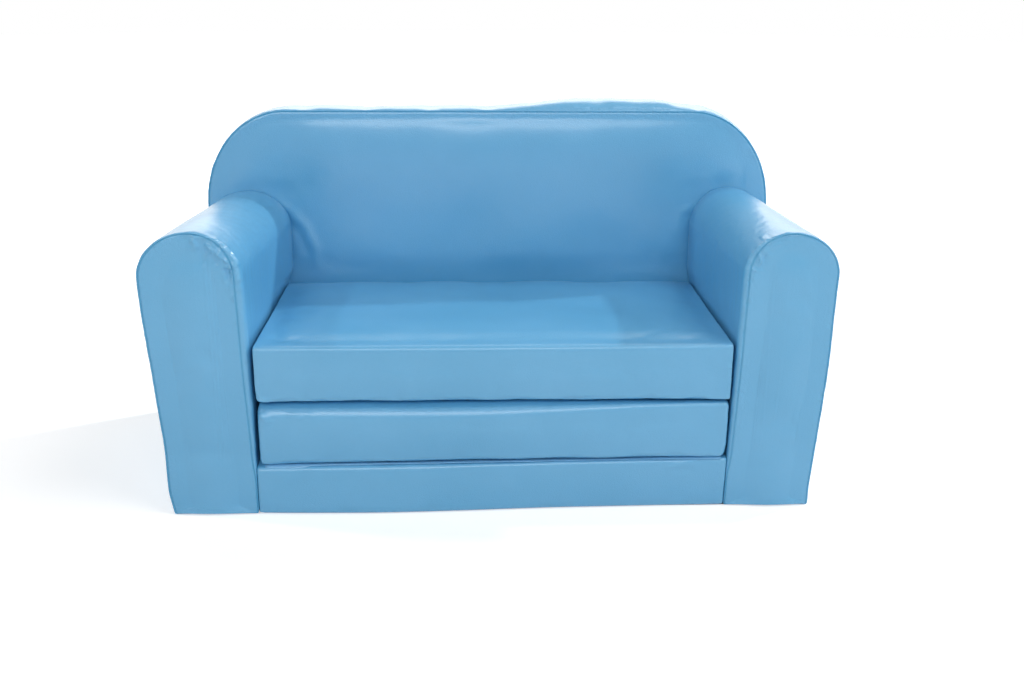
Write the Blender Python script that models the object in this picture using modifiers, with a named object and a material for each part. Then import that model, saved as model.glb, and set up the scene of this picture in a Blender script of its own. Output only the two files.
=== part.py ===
# Kids' flip-open sofa: foam blocks in a sewn vinyl cover. The seat is a mattress of two panels,
# which folds out forwards and lies on the floor in line with the base.
#
# Metres. +X runs to the right seen from the front, +Y to the back, +Z up. The origin is on the floor,
# in the middle of the sofa's box. Left and right are as seen from the front.

import math

import bmesh
import bpy
from mathutils import Matrix, Vector

# Cover, foam, and the air between pieces
SKIN = 0.0012  # thickness of the vinyl
FOAM_GAP = 0.0005  # between a foam block and the cover round it
SEAM_GAP = 0.0003  # between two pieces of the cover that are sewn together
CLOTH = 0.0010  # thickness of the non-slip cloth underneath
CLOTH_INSET = 0.0020  # from the cover's foot in to the cloth's edge

# Base and folding mattress
SEAT_WIDTH = 0.5580  # over the crowned ends of a mattress panel
SEAT_DEPTH = 0.2875  # from the front seam to a panel's rear face
BASE_HEIGHT = 0.0625
PANEL_HEIGHT = 0.0700  # at a panel's edges
PANEL_GAP = 0.0025  # loose air under each folded panel
LOWER_FRONT_RADIUS = 0.0100  # the worn, rounder front edges of the lower panel
UPPER_FRONT_RADIUS = 0.0050  # the crisp front edges of the upper panel
REAR_RADIUS = 0.0060  # rear edges of both panels

# Arms: splayed and domed at the front, upright where they meet the back
ARM_THICKNESS = 0.1024
ARM_HEIGHT = 0.3415  # at the front
ARM_REAR_DROP = 0.0060  # how much lower an arm is where it meets the back
ARM_TOP_RISE = 0.0500  # from the shoulder to the top of the round
ARM_SPLAY = 0.0165  # how far the front shoulder leans out over its foot
ARM_FRONT_CLEARANCE = 0.0010  # from a mattress panel to an arm's foot at the front
ARM_REAR_CLEARANCE = 0.0005  # and at the back

# Back
BACK_HEIGHT = 0.4410  # at the top seam
BACK_THICKNESS = 0.0780  # between the front and rear seams
BACK_CLEARANCE = 0.0060  # from a panel's rear face to the back
BACK_SIDE_MARGIN = 0.0017  # how far the back stands out past an arm's outer face
BACK_CORNER_WIDTH = 0.1100
BACK_CORNER_HEIGHT = 0.1300

# Crowns: how far the middle of each face stands proud of the seams round it
FRONT_CROWN = 0.0025
SEAT_CROWN = 0.0040
END_CROWN = 0.0010
ARM_SIDE_CROWN = 0.0030
BACK_FRONT_CROWN = 0.0045
BACK_REAR_CROWN = 0.0035
BOXING_CROWN = 0.0030
CROWN_POWER = 2  # the higher, the flatter the middle of a crown

# Fabric hinges of the mattress
FRONT_AXIS_SETBACK = 0.0015  # front axis to the foremost point of the crowned fronts
REAR_AXIS_SETBACK = 0.0025  # rear axis to the panels' rear faces
FLOOR_CLEARANCE = 0.0010  # under both panels when they lie open
STRIP_END_INSET = 0.0080  # from a panel's end in to the end of a hinge strip
STRIP_THICKNESS = 0.0010
FRONT_STRIP_ROLL = 0.0020  # outer radius of the roll that shows under the lower panel
FRONT_STRIP_TAIL = 0.0024  # flat part sewn to the base's top, behind the roll
REAR_STRIP_HEIGHT = 0.0260
REAR_STRIP_PUFF = 0.0008

# Zips: one low on the back, one in the rear face of each mattress panel
TAPE_WIDTH = 0.0220
CHAIN_WIDTH = 0.0040
CHAIN_RISE = 0.0008
BACK_ZIP_LENGTH = 0.6000
BACK_ZIP_HEIGHT = 0.0450  # floor to the middle of the tape
PANEL_ZIP_LENGTH = 0.4400
LOWER_ZIP_DROP = 0.0380  # from the lower panel's top edge to the middle of its tape
UPPER_ZIP_RISE = 0.0500  # from the upper panel's bottom edge to the middle of its tape
SLIDER_LENGTH = 0.0120
SLIDER_MOUTH = 0.0095  # width at the end that takes the two rows of teeth
SLIDER_TAIL = 0.0070
SLIDER_HEIGHT = 0.0020
SLIDER_GAP = 0.0003  # round the chain, and over the tape
SLIDER_BEVEL = 0.0004
BRIDGE_LENGTH = 0.0060
BRIDGE_WIDTH = 0.0022
BRIDGE_RISE = 0.0016
BRIDGE_WALL = 0.0006
SLIDER_END_GAP = 0.0020  # from the end of the tape to the slider when the zip is shut

OVERRUN = 0.0020  # how far every cutter passes through what it cuts

# How finely the surfaces are cut
ARM_STEPS = (12, 6, 8)  # across, in depth and in height
BACK_STEPS = (26, 2, 8)
CORNER_SHARE = 6 / 13  # of the back's columns on each side that lie in its rounded corner
BASE_STEPS = (8, 2, 2)
PANEL_STEPS = (8, 6, 2)
PANEL_ARC_STEPS = 3
END_STEPS = (6, 10)
STRIP_STEPS = 12
BOXING_DEPTH_STEPS = 4
BRIDGE_STEPS = 6
BEVEL_SEGMENTS = 2

# Places worked out from the sizes above
overall_depth = FRONT_CROWN + SEAT_DEPTH + BACK_CLEARANCE + BACK_THICKNESS + BACK_REAR_CROWN
seat_half = SEAT_WIDTH / 2
foot_z = CLOTH + SEAM_GAP
seam_y = FRONT_CROWN - overall_depth / 2  # the plane of all the front seams
panel_rear_y = seam_y + SEAT_DEPTH
back_y = panel_rear_y + BACK_CLEARANCE  # the plane of the back's front seams
back_rear_y = back_y + BACK_THICKNESS
arm_end_y = back_y - SEAM_GAP
lower_z = BASE_HEIGHT + PANEL_GAP
upper_z = lower_z + PANEL_HEIGHT + PANEL_GAP
seat_z = upper_z + PANEL_HEIGHT
arm_outer_rear = seat_half + ARM_REAR_CLEARANCE + ARM_THICKNESS
back_half = arm_outer_rear + BACK_SIDE_MARGIN
core_inset = SKIN + FOAM_GAP
front_axis = Vector((0, seam_y - FRONT_CROWN - FRONT_AXIS_SETBACK,
                     (lower_z + PANEL_HEIGHT + FLOOR_CLEARANCE) / 2))
rear_axis = Vector((0, panel_rear_y + REAR_AXIS_SETBACK, upper_z - PANEL_GAP / 2))
slot_gap = 2 * SEAM_GAP

# Looks: colour, roughness and metallic value of each kind of material
LOOKS = {
    "vinyl": ((0.150, 0.392, 0.645), 0.38, 0.0),
    "foam": ((0.800, 0.760, 0.620), 0.95, 0.0),
    "strip": ((0.190, 0.440, 0.680), 0.45, 0.0),
    "cloth": ((0.030, 0.034, 0.042), 0.90, 0.0),
    "tape": ((0.110, 0.300, 0.520), 0.80, 0.0),
    "slider": ((0.420, 0.430, 0.440), 0.30, 1.0),
}


def mix(low, high, share):
    return low + (high - low) * share


def bulge(*shares):
    """How full a surface is: 1 in the middle, 0 where any share is -1 or 1 or beyond."""
    full = 1
    for share in shares:
        full *= 1 - min(1, abs(share)) ** CROWN_POWER
    return full


def share_between(value, low, high):
    """-1 at low, 1 at high."""
    return 2 * (value - low) / (high - low) - 1


def new_collection(name, hidden=False):
    found = bpy.data.collections.new(name)
    found.hide_render = hidden
    bpy.context.scene.collection.children.link(found)
    return found


def new_material(name, look):
    colour, roughness, metallic = LOOKS[look]
    found = bpy.data.materials.new(name)
    found.use_nodes = True
    shader = found.node_tree.nodes["Principled BSDF"]
    shader.inputs["Base Color"].default_value = (*colour, 1)
    shader.inputs["Roughness"].default_value = roughness
    shader.inputs["Metallic"].default_value = metallic
    found.diffuse_color = (*colour, 1)
    return found


def add_object(name, data, look, collection):
    obj = bpy.data.objects.new(name, data)
    collection.objects.link(obj)
    if look:
        data.materials.append(new_material(f"{name}_{look}", look))
    return obj


def mesh_from(bm, name):
    mesh = bpy.data.meshes.new(name)
    bm.to_mesh(mesh)
    bm.free()
    mesh.shade_smooth()
    mesh.set_sharp_from_angle(angle=math.radians(35))
    return mesh


def cut_cube(steps):
    """A cube from -1 to 1, its edges along X, Y and Z cut into that many steps."""
    bm = bmesh.new()
    bmesh.ops.create_cube(bm, size=2)
    for axis, count in enumerate(steps):
        along = [e for e in bm.edges if e.verts[0].co[axis] != e.verts[1].co[axis]]
        if count > 1:
            bmesh.ops.subdivide_edges(bm, edges=along, cuts=count - 1, use_grid_fill=True)
    return bm


def block(name, steps, place, look, collection):
    """A solid made from a cut cube, each point moved to place(across, depth, height)."""
    bm = cut_cube(steps)
    for vert in bm.verts:
        vert.co = place(*vert.co)
    if bm.calc_volume(signed=True) < 0:
        bmesh.ops.reverse_faces(bm, faces=bm.faces)
    return add_object(name, mesh_from(bm, name), look, collection)


def panel(name, steps, place, inside, look="vinyl", thickness=SKIN, closed=False):
    """A sewn piece of cover: a grid with each point moved to place(column, row), shares of -1
    to 1, which is its outer face. It gets its thickness towards the point inside."""
    bm = bmesh.new()
    bmesh.ops.create_grid(bm, x_segments=steps[0], y_segments=steps[1], size=1)
    for vert in bm.verts:
        vert.co = place(vert.co.x, vert.co.y)
    if closed:
        bmesh.ops.remove_doubles(bm, verts=bm.verts, dist=SEAM_GAP / 10)
    bm.normal_update()
    outward = sum(f.calc_area() * f.normal.dot(f.calc_center_median() - inside) for f in bm.faces)
    if outward < 0:
        bmesh.ops.reverse_faces(bm, faces=bm.faces)
    obj = add_object(name, mesh_from(bm, name), look, sofa)
    wall = obj.modifiers.new("cover thickness", "SOLIDIFY")
    wall.thickness = thickness
    wall.offset = -1
    wall.use_even_offset = True
    return obj


def cut(obj, cutter):
    """Takes cutter, which isn't drawn, out of obj."""
    hide(cutter)
    modifier = obj.modifiers.new(f"cut {cutter.name}", "BOOLEAN")
    modifier.operation = "DIFFERENCE"
    modifier.solver = "EXACT"
    modifier.object = cutter


def hide(helper):
    helper.hide_render = True
    helper.display_type = "WIRE"


def box(name, low, high, look=None, collection=None):
    """A plain box between two corners."""
    def place(across, depth, height):
        shares = ((across + 1) / 2, (depth + 1) / 2, (height + 1) / 2)
        return [mix(a, b, share) for a, b, share in zip(low, high, shares)]
    return block(name, (1, 1, 1), place, look, collection or cutters)


def hang_on(obj, axis):
    """Parents obj to the empty on its joint's axis, leaving it where it is."""
    bpy.context.view_layer.update()
    obj.parent = axis
    obj.matrix_parent_inverse = axis.matrix_world.inverted()


def empty(name, place):
    obj = bpy.data.objects.new(name, None)
    obj.location = place
    obj.empty_display_size = ARM_TOP_RISE
    sofa.objects.link(obj)
    return obj


# Arms


def arm_inner_x(y, z):
    """Where an arm's inner face stands. Its lean fades out from the front to the back."""
    back = (y - seam_y) / (arm_end_y - seam_y)
    clearance = mix(ARM_FRONT_CLEARANCE, ARM_REAR_CLEARANCE, back)
    lean = ARM_SPLAY * (1 - back) * min(1, z / arm_shoulder_z(y))
    return seat_half + clearance + lean


def arm_shoulder_z(y):
    back = (y - seam_y) / (arm_end_y - seam_y)
    return ARM_HEIGHT - ARM_REAR_DROP * back - ARM_TOP_RISE


def arm_point(side, turn, depth, height, inset, front_y):
    """A point of an arm's volume. turn goes round the top from the inner face to the outer, so
    that the columns crowd where the round is steep; depth and height are shares too."""
    angle = math.pi * (turn + 1) / 2
    y = mix(front_y, arm_end_y, (depth + 1) / 2)
    shoulder = arm_shoulder_z(y)
    top = shoulder + (ARM_TOP_RISE - inset) * math.sin(angle)
    z = mix(foot_z, top, (height + 1) / 2)
    inner = arm_inner_x(y, z) + inset
    outer = arm_inner_x(y, z) + ARM_THICKNESS - inset
    outer += ARM_SIDE_CROWN * bulge(share_between(z, foot_z, shoulder))
    y -= FRONT_CROWN * bulge(turn, height) * max(0, -depth)
    return side * mix(inner, outer, (1 - math.cos(angle)) / 2), y, z


def arm_wrap_point(side, along, depth, front_y):
    """A point of the strip that runs up the inner face, over the top and down the outer face.
    A third of its columns lie on each of the three."""
    stage = 1.5 * (along + 1)
    if stage <= 1:
        return arm_point(side, -1, depth, mix(-1, 1, stage), 0, front_y)
    if stage >= 2:
        return arm_point(side, 1, depth, mix(1, -1, stage - 2), 0, front_y)
    return arm_point(side, mix(-1, 1, stage - 1), depth, 1, 0, front_y)


def build_arm(name, side):
    middle = Vector((side * (seat_half + ARM_THICKNESS / 2), 0, ARM_HEIGHT / 2))
    block(f"{name}_arm_foam", ARM_STEPS,
          lambda a, d, h: arm_point(side, a, d, h, core_inset, seam_y + core_inset), "foam", sofa)
    panel(f"{name}_arm_front_panel", (ARM_STEPS[0], ARM_STEPS[2]),
          lambda a, h: arm_point(side, a, -1, h, 0, seam_y), middle)
    panel(f"{name}_arm_wrap", (3 * ARM_STEPS[0], ARM_STEPS[1]),
          lambda a, d: arm_wrap_point(side, a, d, seam_y + SKIN + SEAM_GAP), middle)


# Back


def back_column(across, inset):
    """The x of one column of the back and the height of its top. The last columns on each side
    go round an elliptical corner in equal turns."""
    corner_width = BACK_CORNER_WIDTH - inset
    corner_height = BACK_CORNER_HEIGHT - inset
    straight = back_half - inset - corner_width
    top = BACK_HEIGHT - inset
    into_corner = (abs(across) - (1 - CORNER_SHARE)) / CORNER_SHARE
    if into_corner <= 0:
        return straight * across / (1 - CORNER_SHARE), top
    angle = into_corner * math.pi / 2
    x = straight + corner_width * math.sin(angle)
    return math.copysign(x, across), top - corner_height * (1 - math.cos(angle))


def back_point(across, depth, height, inset):
    """A point of the back's volume. Its boxing swells in the middle of the depth, its front swells
    between the arms above the seat, and its rear above the zip."""
    x, top = back_column(across, inset)
    z = mix(foot_z, top, (height + 1) / 2)
    y = mix(back_y + inset, back_rear_y - inset, (depth + 1) / 2)
    y -= BACK_FRONT_CROWN * bulge(x / seat_half, share_between(z, seat_z, top)) * max(0, -depth)
    zip_top = BACK_ZIP_HEIGHT + TAPE_WIDTH
    y += BACK_REAR_CROWN * bulge(across, share_between(z, zip_top, top)) * max(0, depth)
    swell = BOXING_CROWN * bulge(depth)
    return x * (1 + swell / back_half), y, z * (1 + swell / BACK_HEIGHT)


def boxing_point(along, depth):
    """A point of the strip up one side of the back, along its top and down the other side."""
    stage = 2 * (along + 1)
    edge = (SKIN + SEAM_GAP) / BACK_THICKNESS
    depth *= 1 - 2 * edge
    if stage <= 1:
        return back_point(-1, depth, mix(-1, 1, stage), 0)
    if stage >= 3:
        return back_point(1, depth, mix(1, -1, stage - 3), 0)
    return back_point(stage - 2, depth, 1, 0)


def build_back():
    middle = Vector((0, (back_y + back_rear_y) / 2, BACK_HEIGHT / 2))
    across, depth, height = BACK_STEPS
    block("back_foam", BACK_STEPS, lambda a, d, h: back_point(a, d, h, core_inset), "foam", sofa)
    panel("back_front_panel", (across, height), lambda a, h: back_point(a, -1, h, 0), middle)
    rear = panel("back_rear_panel", (across, height), lambda a, h: back_point(a, 1, h, 0), middle)
    panel("back_boxing", (2 * across, BOXING_DEPTH_STEPS), boxing_point, middle)
    build_zip("back", rear, back_rear_y, BACK_ZIP_HEIGHT, BACK_ZIP_LENGTH, 1, None)


# Base


def base_point(across, y, z):
    """A point of the base, which fills the space between the two arms."""
    return across * (arm_inner_x(y, z) - SEAM_GAP), y, z


def build_base():
    middle = Vector((0, 0, BASE_HEIGHT / 2))
    top_front_y = seam_y + SKIN + SEAM_GAP

    def core(across, depth, height):
        z = mix(foot_z, BASE_HEIGHT - core_inset, (height + 1) / 2)
        y = mix(seam_y + core_inset, arm_end_y, (depth + 1) / 2)
        x, y, z = base_point(across, y, z)
        return x, y - FRONT_CROWN * bulge(across, height) * max(0, -depth), z

    def front(across, height):
        x, y, z = base_point(across, seam_y, mix(foot_z, BASE_HEIGHT, (height + 1) / 2))
        return x, y - FRONT_CROWN * bulge(across, height), z

    def top(across, depth):
        return base_point(across, mix(top_front_y, arm_end_y, (depth + 1) / 2), BASE_HEIGHT)

    block("base_foam", BASE_STEPS, core, "foam", sofa)
    panel("base_front_panel", (BASE_STEPS[0], 2 * BASE_STEPS[2]), front, middle)
    panel("base_top_panel", (BASE_STEPS[0], BASE_STEPS[1]), top, middle)
    foot = arm_outer_rear - CLOTH_INSET
    box("underside_cloth", (-foot, seam_y + CLOTH_INSET, 0),
        (foot, back_rear_y - CLOTH_INSET, CLOTH), "cloth", sofa)


# Mattress panels


def crowned(x, y, z, low_z, top_crown):
    """Swells a panel's front, its ends and, on the upper panel, its top."""
    across = x / (seat_half - END_CROWN)
    depth = share_between(y, seam_y, panel_rear_y)
    height = share_between(z, low_z, low_z + PANEL_HEIGHT)
    return (
        x + END_CROWN * bulge(depth, height) * across,
        y - FRONT_CROWN * bulge(across, height) * max(0, -depth),
        z + top_crown * bulge(across, depth) * max(0, height),
    )


def section_point(around, low_z, front_radius):
    """A point on the rounded outline of a panel's side view. It starts in the middle of the rear
    face, and passes the rear top, front top, front bottom and rear bottom corners in turn."""
    corners = (
        (panel_rear_y - REAR_RADIUS, low_z + PANEL_HEIGHT - REAR_RADIUS, REAR_RADIUS),
        (seam_y + front_radius, low_z + PANEL_HEIGHT - front_radius, front_radius),
        (seam_y + front_radius, low_z + front_radius, front_radius),
        (panel_rear_y - REAR_RADIUS, low_z + REAR_RADIUS, REAR_RADIUS),
    )
    points = []
    for turn, (y, z, radius) in enumerate(corners):
        for step in range(PANEL_ARC_STEPS + 1):
            angle = (turn + step / PANEL_ARC_STEPS) * math.pi / 2
            points.append((y + radius * math.cos(angle), z + radius * math.sin(angle)))
        following_y, following_z, following_radius = corners[(turn + 1) % 4]
        angle = (turn + 1) * math.pi / 2
        end = (following_y + following_radius * math.cos(angle),
               following_z + following_radius * math.sin(angle))
        start = points[-1]
        runs = PANEL_STEPS[1] if turn % 2 == 0 else PANEL_STEPS[2]
        for step in range(1, runs):
            points.append(tuple(mix(a, b, step / runs) for a, b in zip(start, end)))
    return points[round((around + 1) / 2 * len(points)) % len(points)]


def section_length():
    return 4 * (PANEL_ARC_STEPS + 1) + 2 * (PANEL_STEPS[1] - 1) + 2 * (PANEL_STEPS[2] - 1)


def set_back(rise, radius):
    """How far a rounded edge lies behind its face, at a given height above its start."""
    short = max(0, radius - rise)
    return radius - math.sqrt(radius * radius - short * short)


def build_mattress_panel(name, low_z, front_radius, top_crown, zip_z, zip_side, axis):
    middle = Vector((0, (seam_y + panel_rear_y) / 2, low_z + PANEL_HEIGHT / 2))
    end_x = seat_half - END_CROWN
    sleeve_x = end_x - SKIN - SEAM_GAP
    pieces = []

    def core(across, depth, height):
        return crowned(
            across * (end_x - core_inset),
            mix(seam_y + core_inset, panel_rear_y - core_inset, (depth + 1) / 2),
            mix(low_z + core_inset, low_z + PANEL_HEIGHT - core_inset, (height + 1) / 2),
            low_z, top_crown)

    def sleeve(around, across):
        y, z = section_point(around, low_z, front_radius)
        return crowned(across * sleeve_x, y, z, low_z, top_crown)

    def end(side, depth, height):
        rise = PANEL_HEIGHT * (1 - math.cos(math.pi * (height + 1) / 2)) / 2
        from_edge = min(rise, PANEL_HEIGHT - rise)
        front = seam_y + set_back(from_edge, front_radius)
        rear = panel_rear_y - set_back(from_edge, REAR_RADIUS)
        y = mix(front, rear, (depth + 1) / 2)
        return crowned(side * end_x, y, low_z + rise, low_z, top_crown)

    foam = block(f"{name}_foam", PANEL_STEPS, core, "foam", sofa)
    rounding = foam.modifiers.new("rounded edges", "BEVEL")
    rounding.width = max(front_radius, REAR_RADIUS)
    rounding.segments = BEVEL_SEGMENTS
    rounding.limit_method = "ANGLE"
    rounding.angle_limit = math.radians(60)
    pieces.append(foam)
    cover = panel(f"{name}_sleeve", (section_length(), PANEL_STEPS[0]), sleeve, middle, closed=True)
    pieces.append(cover)
    for side_name, side in (("left", -1), ("right", 1)):
        pieces.append(panel(f"{name}_{side_name}_end", END_STEPS,
                            lambda d, h, side=side: end(side, d, h), middle))
    for piece in pieces:
        hang_on(piece, axis)
    build_zip(name, cover, panel_rear_y, zip_z, PANEL_ZIP_LENGTH, zip_side, axis)


# Fabric hinges


def build_hinge_strips(front_empty, rear_empty):
    half = seat_half - END_CROWN - STRIP_END_INSET
    roll_z = BASE_HEIGHT + SEAM_GAP + FRONT_STRIP_ROLL
    reach = LOWER_FRONT_RADIUS + FRONT_STRIP_ROLL + SEAM_GAP
    drop = lower_z + LOWER_FRONT_RADIUS - roll_z
    roll_y = seam_y + LOWER_FRONT_RADIUS - math.sqrt(reach * reach - drop * drop)

    def rolled(around, across):
        """Forwards along the base's top, then up and round the roll."""
        stage = around + 1
        if stage <= 1:
            return half * across, roll_y + FRONT_STRIP_TAIL * (1 - stage), roll_z - FRONT_STRIP_ROLL
        angle = math.pi * (stage - 1)
        return (half * across, roll_y - FRONT_STRIP_ROLL * math.sin(angle),
                roll_z - FRONT_STRIP_ROLL * math.cos(angle))

    def flat(height, across):
        y = panel_rear_y + SEAM_GAP + STRIP_THICKNESS + REAR_STRIP_PUFF * bulge(height)
        return half * across, y, rear_axis.z + height * REAR_STRIP_HEIGHT / 2

    front = panel("front_hinge_strip", (STRIP_STEPS, 1), rolled, Vector((0, roll_y, roll_z)),
                  "strip", STRIP_THICKNESS)
    rear = panel("rear_hinge_strip", (4, 1), flat, Vector((0, 0, rear_axis.z)),
                 "strip", STRIP_THICKNESS)
    hang_on(front, front_empty)
    hang_on(rear, rear_empty)


# Zips


def tape_outline():
    """Half widths and heights of a zip's cross-section, from its hidden face outwards."""
    flank = CHAIN_WIDTH / 2 - CHAIN_RISE / 2
    right = ((TAPE_WIDTH / 2, 0), (TAPE_WIDTH / 2, SKIN), (CHAIN_WIDTH / 2, SKIN),
             (flank, SKIN + CHAIN_RISE))
    return right + tuple((-x, y) for x, y in reversed(right))


def build_tape(name, face_y, z, length):
    """Tape and chain in one: their cross-section as a flat outline, extruded along the zip."""
    curve = bpy.data.curves.new(name, "CURVE")
    curve.dimensions = "2D"
    curve.fill_mode = "BOTH"
    curve.extrude = length / 2
    points = tape_outline()
    spline = curve.splines.new("POLY")
    spline.points.add(len(points) - 1)
    for point, (x, y) in zip(spline.points, points):
        point.co = (x, y, 0, 1)
    spline.use_cyclic_u = True
    obj = add_object(name, curve, "tape", sofa)
    obj.rotation_euler = (0, math.pi / 2, 0)
    obj.location = (0, face_y - SKIN, z)
    return obj


def slider_mesh():
    """A zip's slider with no pull, as on covers made for children: a tapered body that straddles
    the chain, under a small bridge. Its origin is on the chain, level with the tape."""
    top = SLIDER_GAP + SLIDER_HEIGHT

    def body(along, out, across):
        width = mix(SLIDER_TAIL, SLIDER_MOUTH, (along + 1) / 2)
        return (along * SLIDER_LENGTH / 2, mix(SLIDER_GAP, top, (out + 1) / 2),
                across * width / 2)

    def bridge(along, out, across):
        angle = math.pi * (along + 1) / 2
        radius = 1 - (1 - out) / 2 * BRIDGE_WALL / BRIDGE_RISE
        return (-BRIDGE_LENGTH / 2 * radius * math.cos(angle),
                top - SLIDER_BEVEL + BRIDGE_RISE * radius * math.sin(angle),
                across * BRIDGE_WIDTH / 2)

    shell = block("slider_body", (4, 1, 1), body, None, cutters)
    arch = block("slider_bridge", (BRIDGE_STEPS, 1, 1), bridge, None, cutters)
    channel_half = CHAIN_WIDTH / 2 + SLIDER_GAP
    channel = box("slider_channel", (-SLIDER_LENGTH, -OVERRUN, -channel_half),
                  (SLIDER_LENGTH, CHAIN_RISE + SLIDER_GAP, channel_half))
    cut(shell, channel)
    rounding = shell.modifiers.new("rounded edges", "BEVEL")
    rounding.width = SLIDER_BEVEL
    rounding.segments = BEVEL_SEGMENTS
    rounding.limit_method = "ANGLE"
    rounding.angle_limit = math.radians(40)
    hide(arch)
    joined = shell.modifiers.new("bridge", "BOOLEAN")
    joined.operation = "UNION"
    joined.solver = "EXACT"
    joined.object = arch
    hide(shell)
    bpy.context.view_layer.update()
    return bpy.data.meshes.new_from_object(shell.evaluated_get(bpy.context.evaluated_depsgraph_get()))


def build_zip(name, cover, face_y, z, length, shut_side, axis):
    """Cuts a slot in a flat stretch of cover, lays a zip in it, and sets its slider at the shut
    end: shut_side is -1 for the left and 1 for the right."""
    slot = box(f"{name}_zip_slot",
               (-length / 2 - slot_gap, face_y - SKIN - OVERRUN, z - TAPE_WIDTH / 2 - slot_gap),
               (length / 2 + slot_gap, face_y + OVERRUN, z + TAPE_WIDTH / 2 + slot_gap))
    cut(cover, slot)
    tape = build_tape(f"{name}_zip", face_y, z, length)
    mesh = slider_shape.copy()
    slider = add_object(f"{name}_zip_slider", mesh, "slider", sofa)
    slider.location = (shut_side * (length / 2 - SLIDER_END_GAP - SLIDER_LENGTH / 2), face_y, z)
    slider.rotation_euler = (0, 0 if shut_side > 0 else math.pi, 0)
    if axis:
        for piece in (slot, tape, slider):
            hang_on(piece, axis)


for old in list(bpy.data.objects):
    bpy.data.objects.remove(old)

sofa = new_collection("kids_flip_open_sofa")
cutters = new_collection("cutters", hidden=True)
slider_shape = slider_mesh()

for arm_name, arm_side in (("left", -1), ("right", 1)):
    build_arm(arm_name, arm_side)
build_back()
build_base()

front_hinge = empty("front_hinge_axis", front_axis)
rear_hinge = empty("rear_hinge_axis", rear_axis)
hang_on(rear_hinge, front_hinge)
build_mattress_panel("lower_panel", lower_z, LOWER_FRONT_RADIUS, 0,
                     lower_z + PANEL_HEIGHT - LOWER_ZIP_DROP, -1, front_hinge)
build_mattress_panel("upper_panel", upper_z, UPPER_FRONT_RADIUS, SEAT_CROWN,
                     upper_z + UPPER_ZIP_RISE, 1, rear_hinge)
build_hinge_strips(front_hinge, rear_hinge)
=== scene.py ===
import math

import bmesh
import bpy
from mathutils import Matrix, Vector, noise


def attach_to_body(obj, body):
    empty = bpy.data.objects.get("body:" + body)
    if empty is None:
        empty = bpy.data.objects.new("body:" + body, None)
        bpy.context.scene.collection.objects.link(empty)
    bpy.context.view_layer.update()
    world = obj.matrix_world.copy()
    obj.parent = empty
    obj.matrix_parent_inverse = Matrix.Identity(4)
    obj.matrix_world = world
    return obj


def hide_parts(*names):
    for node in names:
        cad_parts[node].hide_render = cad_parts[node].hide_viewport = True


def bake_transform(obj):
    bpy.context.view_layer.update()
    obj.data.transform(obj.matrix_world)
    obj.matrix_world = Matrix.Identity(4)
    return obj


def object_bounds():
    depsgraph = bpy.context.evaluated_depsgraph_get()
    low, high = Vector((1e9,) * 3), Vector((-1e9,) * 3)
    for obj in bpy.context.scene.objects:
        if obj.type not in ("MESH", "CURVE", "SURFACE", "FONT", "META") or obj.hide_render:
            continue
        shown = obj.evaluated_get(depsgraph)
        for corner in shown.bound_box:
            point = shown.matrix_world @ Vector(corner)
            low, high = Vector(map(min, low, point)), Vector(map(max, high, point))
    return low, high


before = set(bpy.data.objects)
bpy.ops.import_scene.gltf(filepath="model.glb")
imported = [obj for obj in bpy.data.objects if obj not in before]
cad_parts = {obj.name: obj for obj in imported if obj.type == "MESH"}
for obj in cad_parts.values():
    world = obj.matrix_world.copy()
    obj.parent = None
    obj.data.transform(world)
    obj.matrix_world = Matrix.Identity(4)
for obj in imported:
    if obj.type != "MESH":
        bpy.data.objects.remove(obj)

cadLow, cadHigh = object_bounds()
scene = bpy.context.scene
print("frame loaded:", len(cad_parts), "nodes")

# Kids' flip-open sofa in sky-blue vinyl. Metres, +X right, +Y back, +Z up, as in the CAD.
sofa = {
    "seatHalf": .279,       # half the width over a mattress panel's ends
    "seatDepth": .2875,
    "baseTop": .0625,
    "panelHeight": .070,
    "panelGap": .0025,      # loose air under each folded panel
    "frontCrown": .0025,
    "backGap": .006,        # between the panels' rear faces and the back
    "backThickness": .078,
    "footZ": .0013,         # top of the cloth underneath
    "footReach": (.0085, .0020),   # how far the front's foot stands forward, left and right
    "footTop": .075,
    "footFade": (.002, .08),       # how far behind the front that push dies out
    "footLean": (-.17, .10),       # where across the left push ends
    "footRight": (.01, .06),       # from and to beyond the right end of the seat
    "footInset": .4,        # share of an inset by which a cover's bottom edge is lifted
    "floorGap": .0003,      # what stays free under the front's bottom edge
    "fill": .9,             # share of each cover that its foam fills
}
seatHalf = sofa["seatHalf"]
seamY = cadLow.y + sofa["frontCrown"]
panelRearY = seamY + sofa["seatDepth"]
backY = panelRearY + sofa["backGap"]
backRearY = backY + sofa["backThickness"]
lowerZ = sofa["baseTop"] + sofa["panelGap"]
upperZ = lowerZ + sofa["panelHeight"] + sofa["panelGap"]
seatZ = upperZ + sofa["panelHeight"]
footZ = sofa["footZ"]


# camera

photo = {
    "place": (-.0319, -1.44535, .6377),
    "pitch": math.radians(18.587),
    "yaw": math.radians(2.349),
    "roll": math.radians(.3896),
    "focalLength": 40.33,
    "sensorWidth": 36,
}


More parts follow.
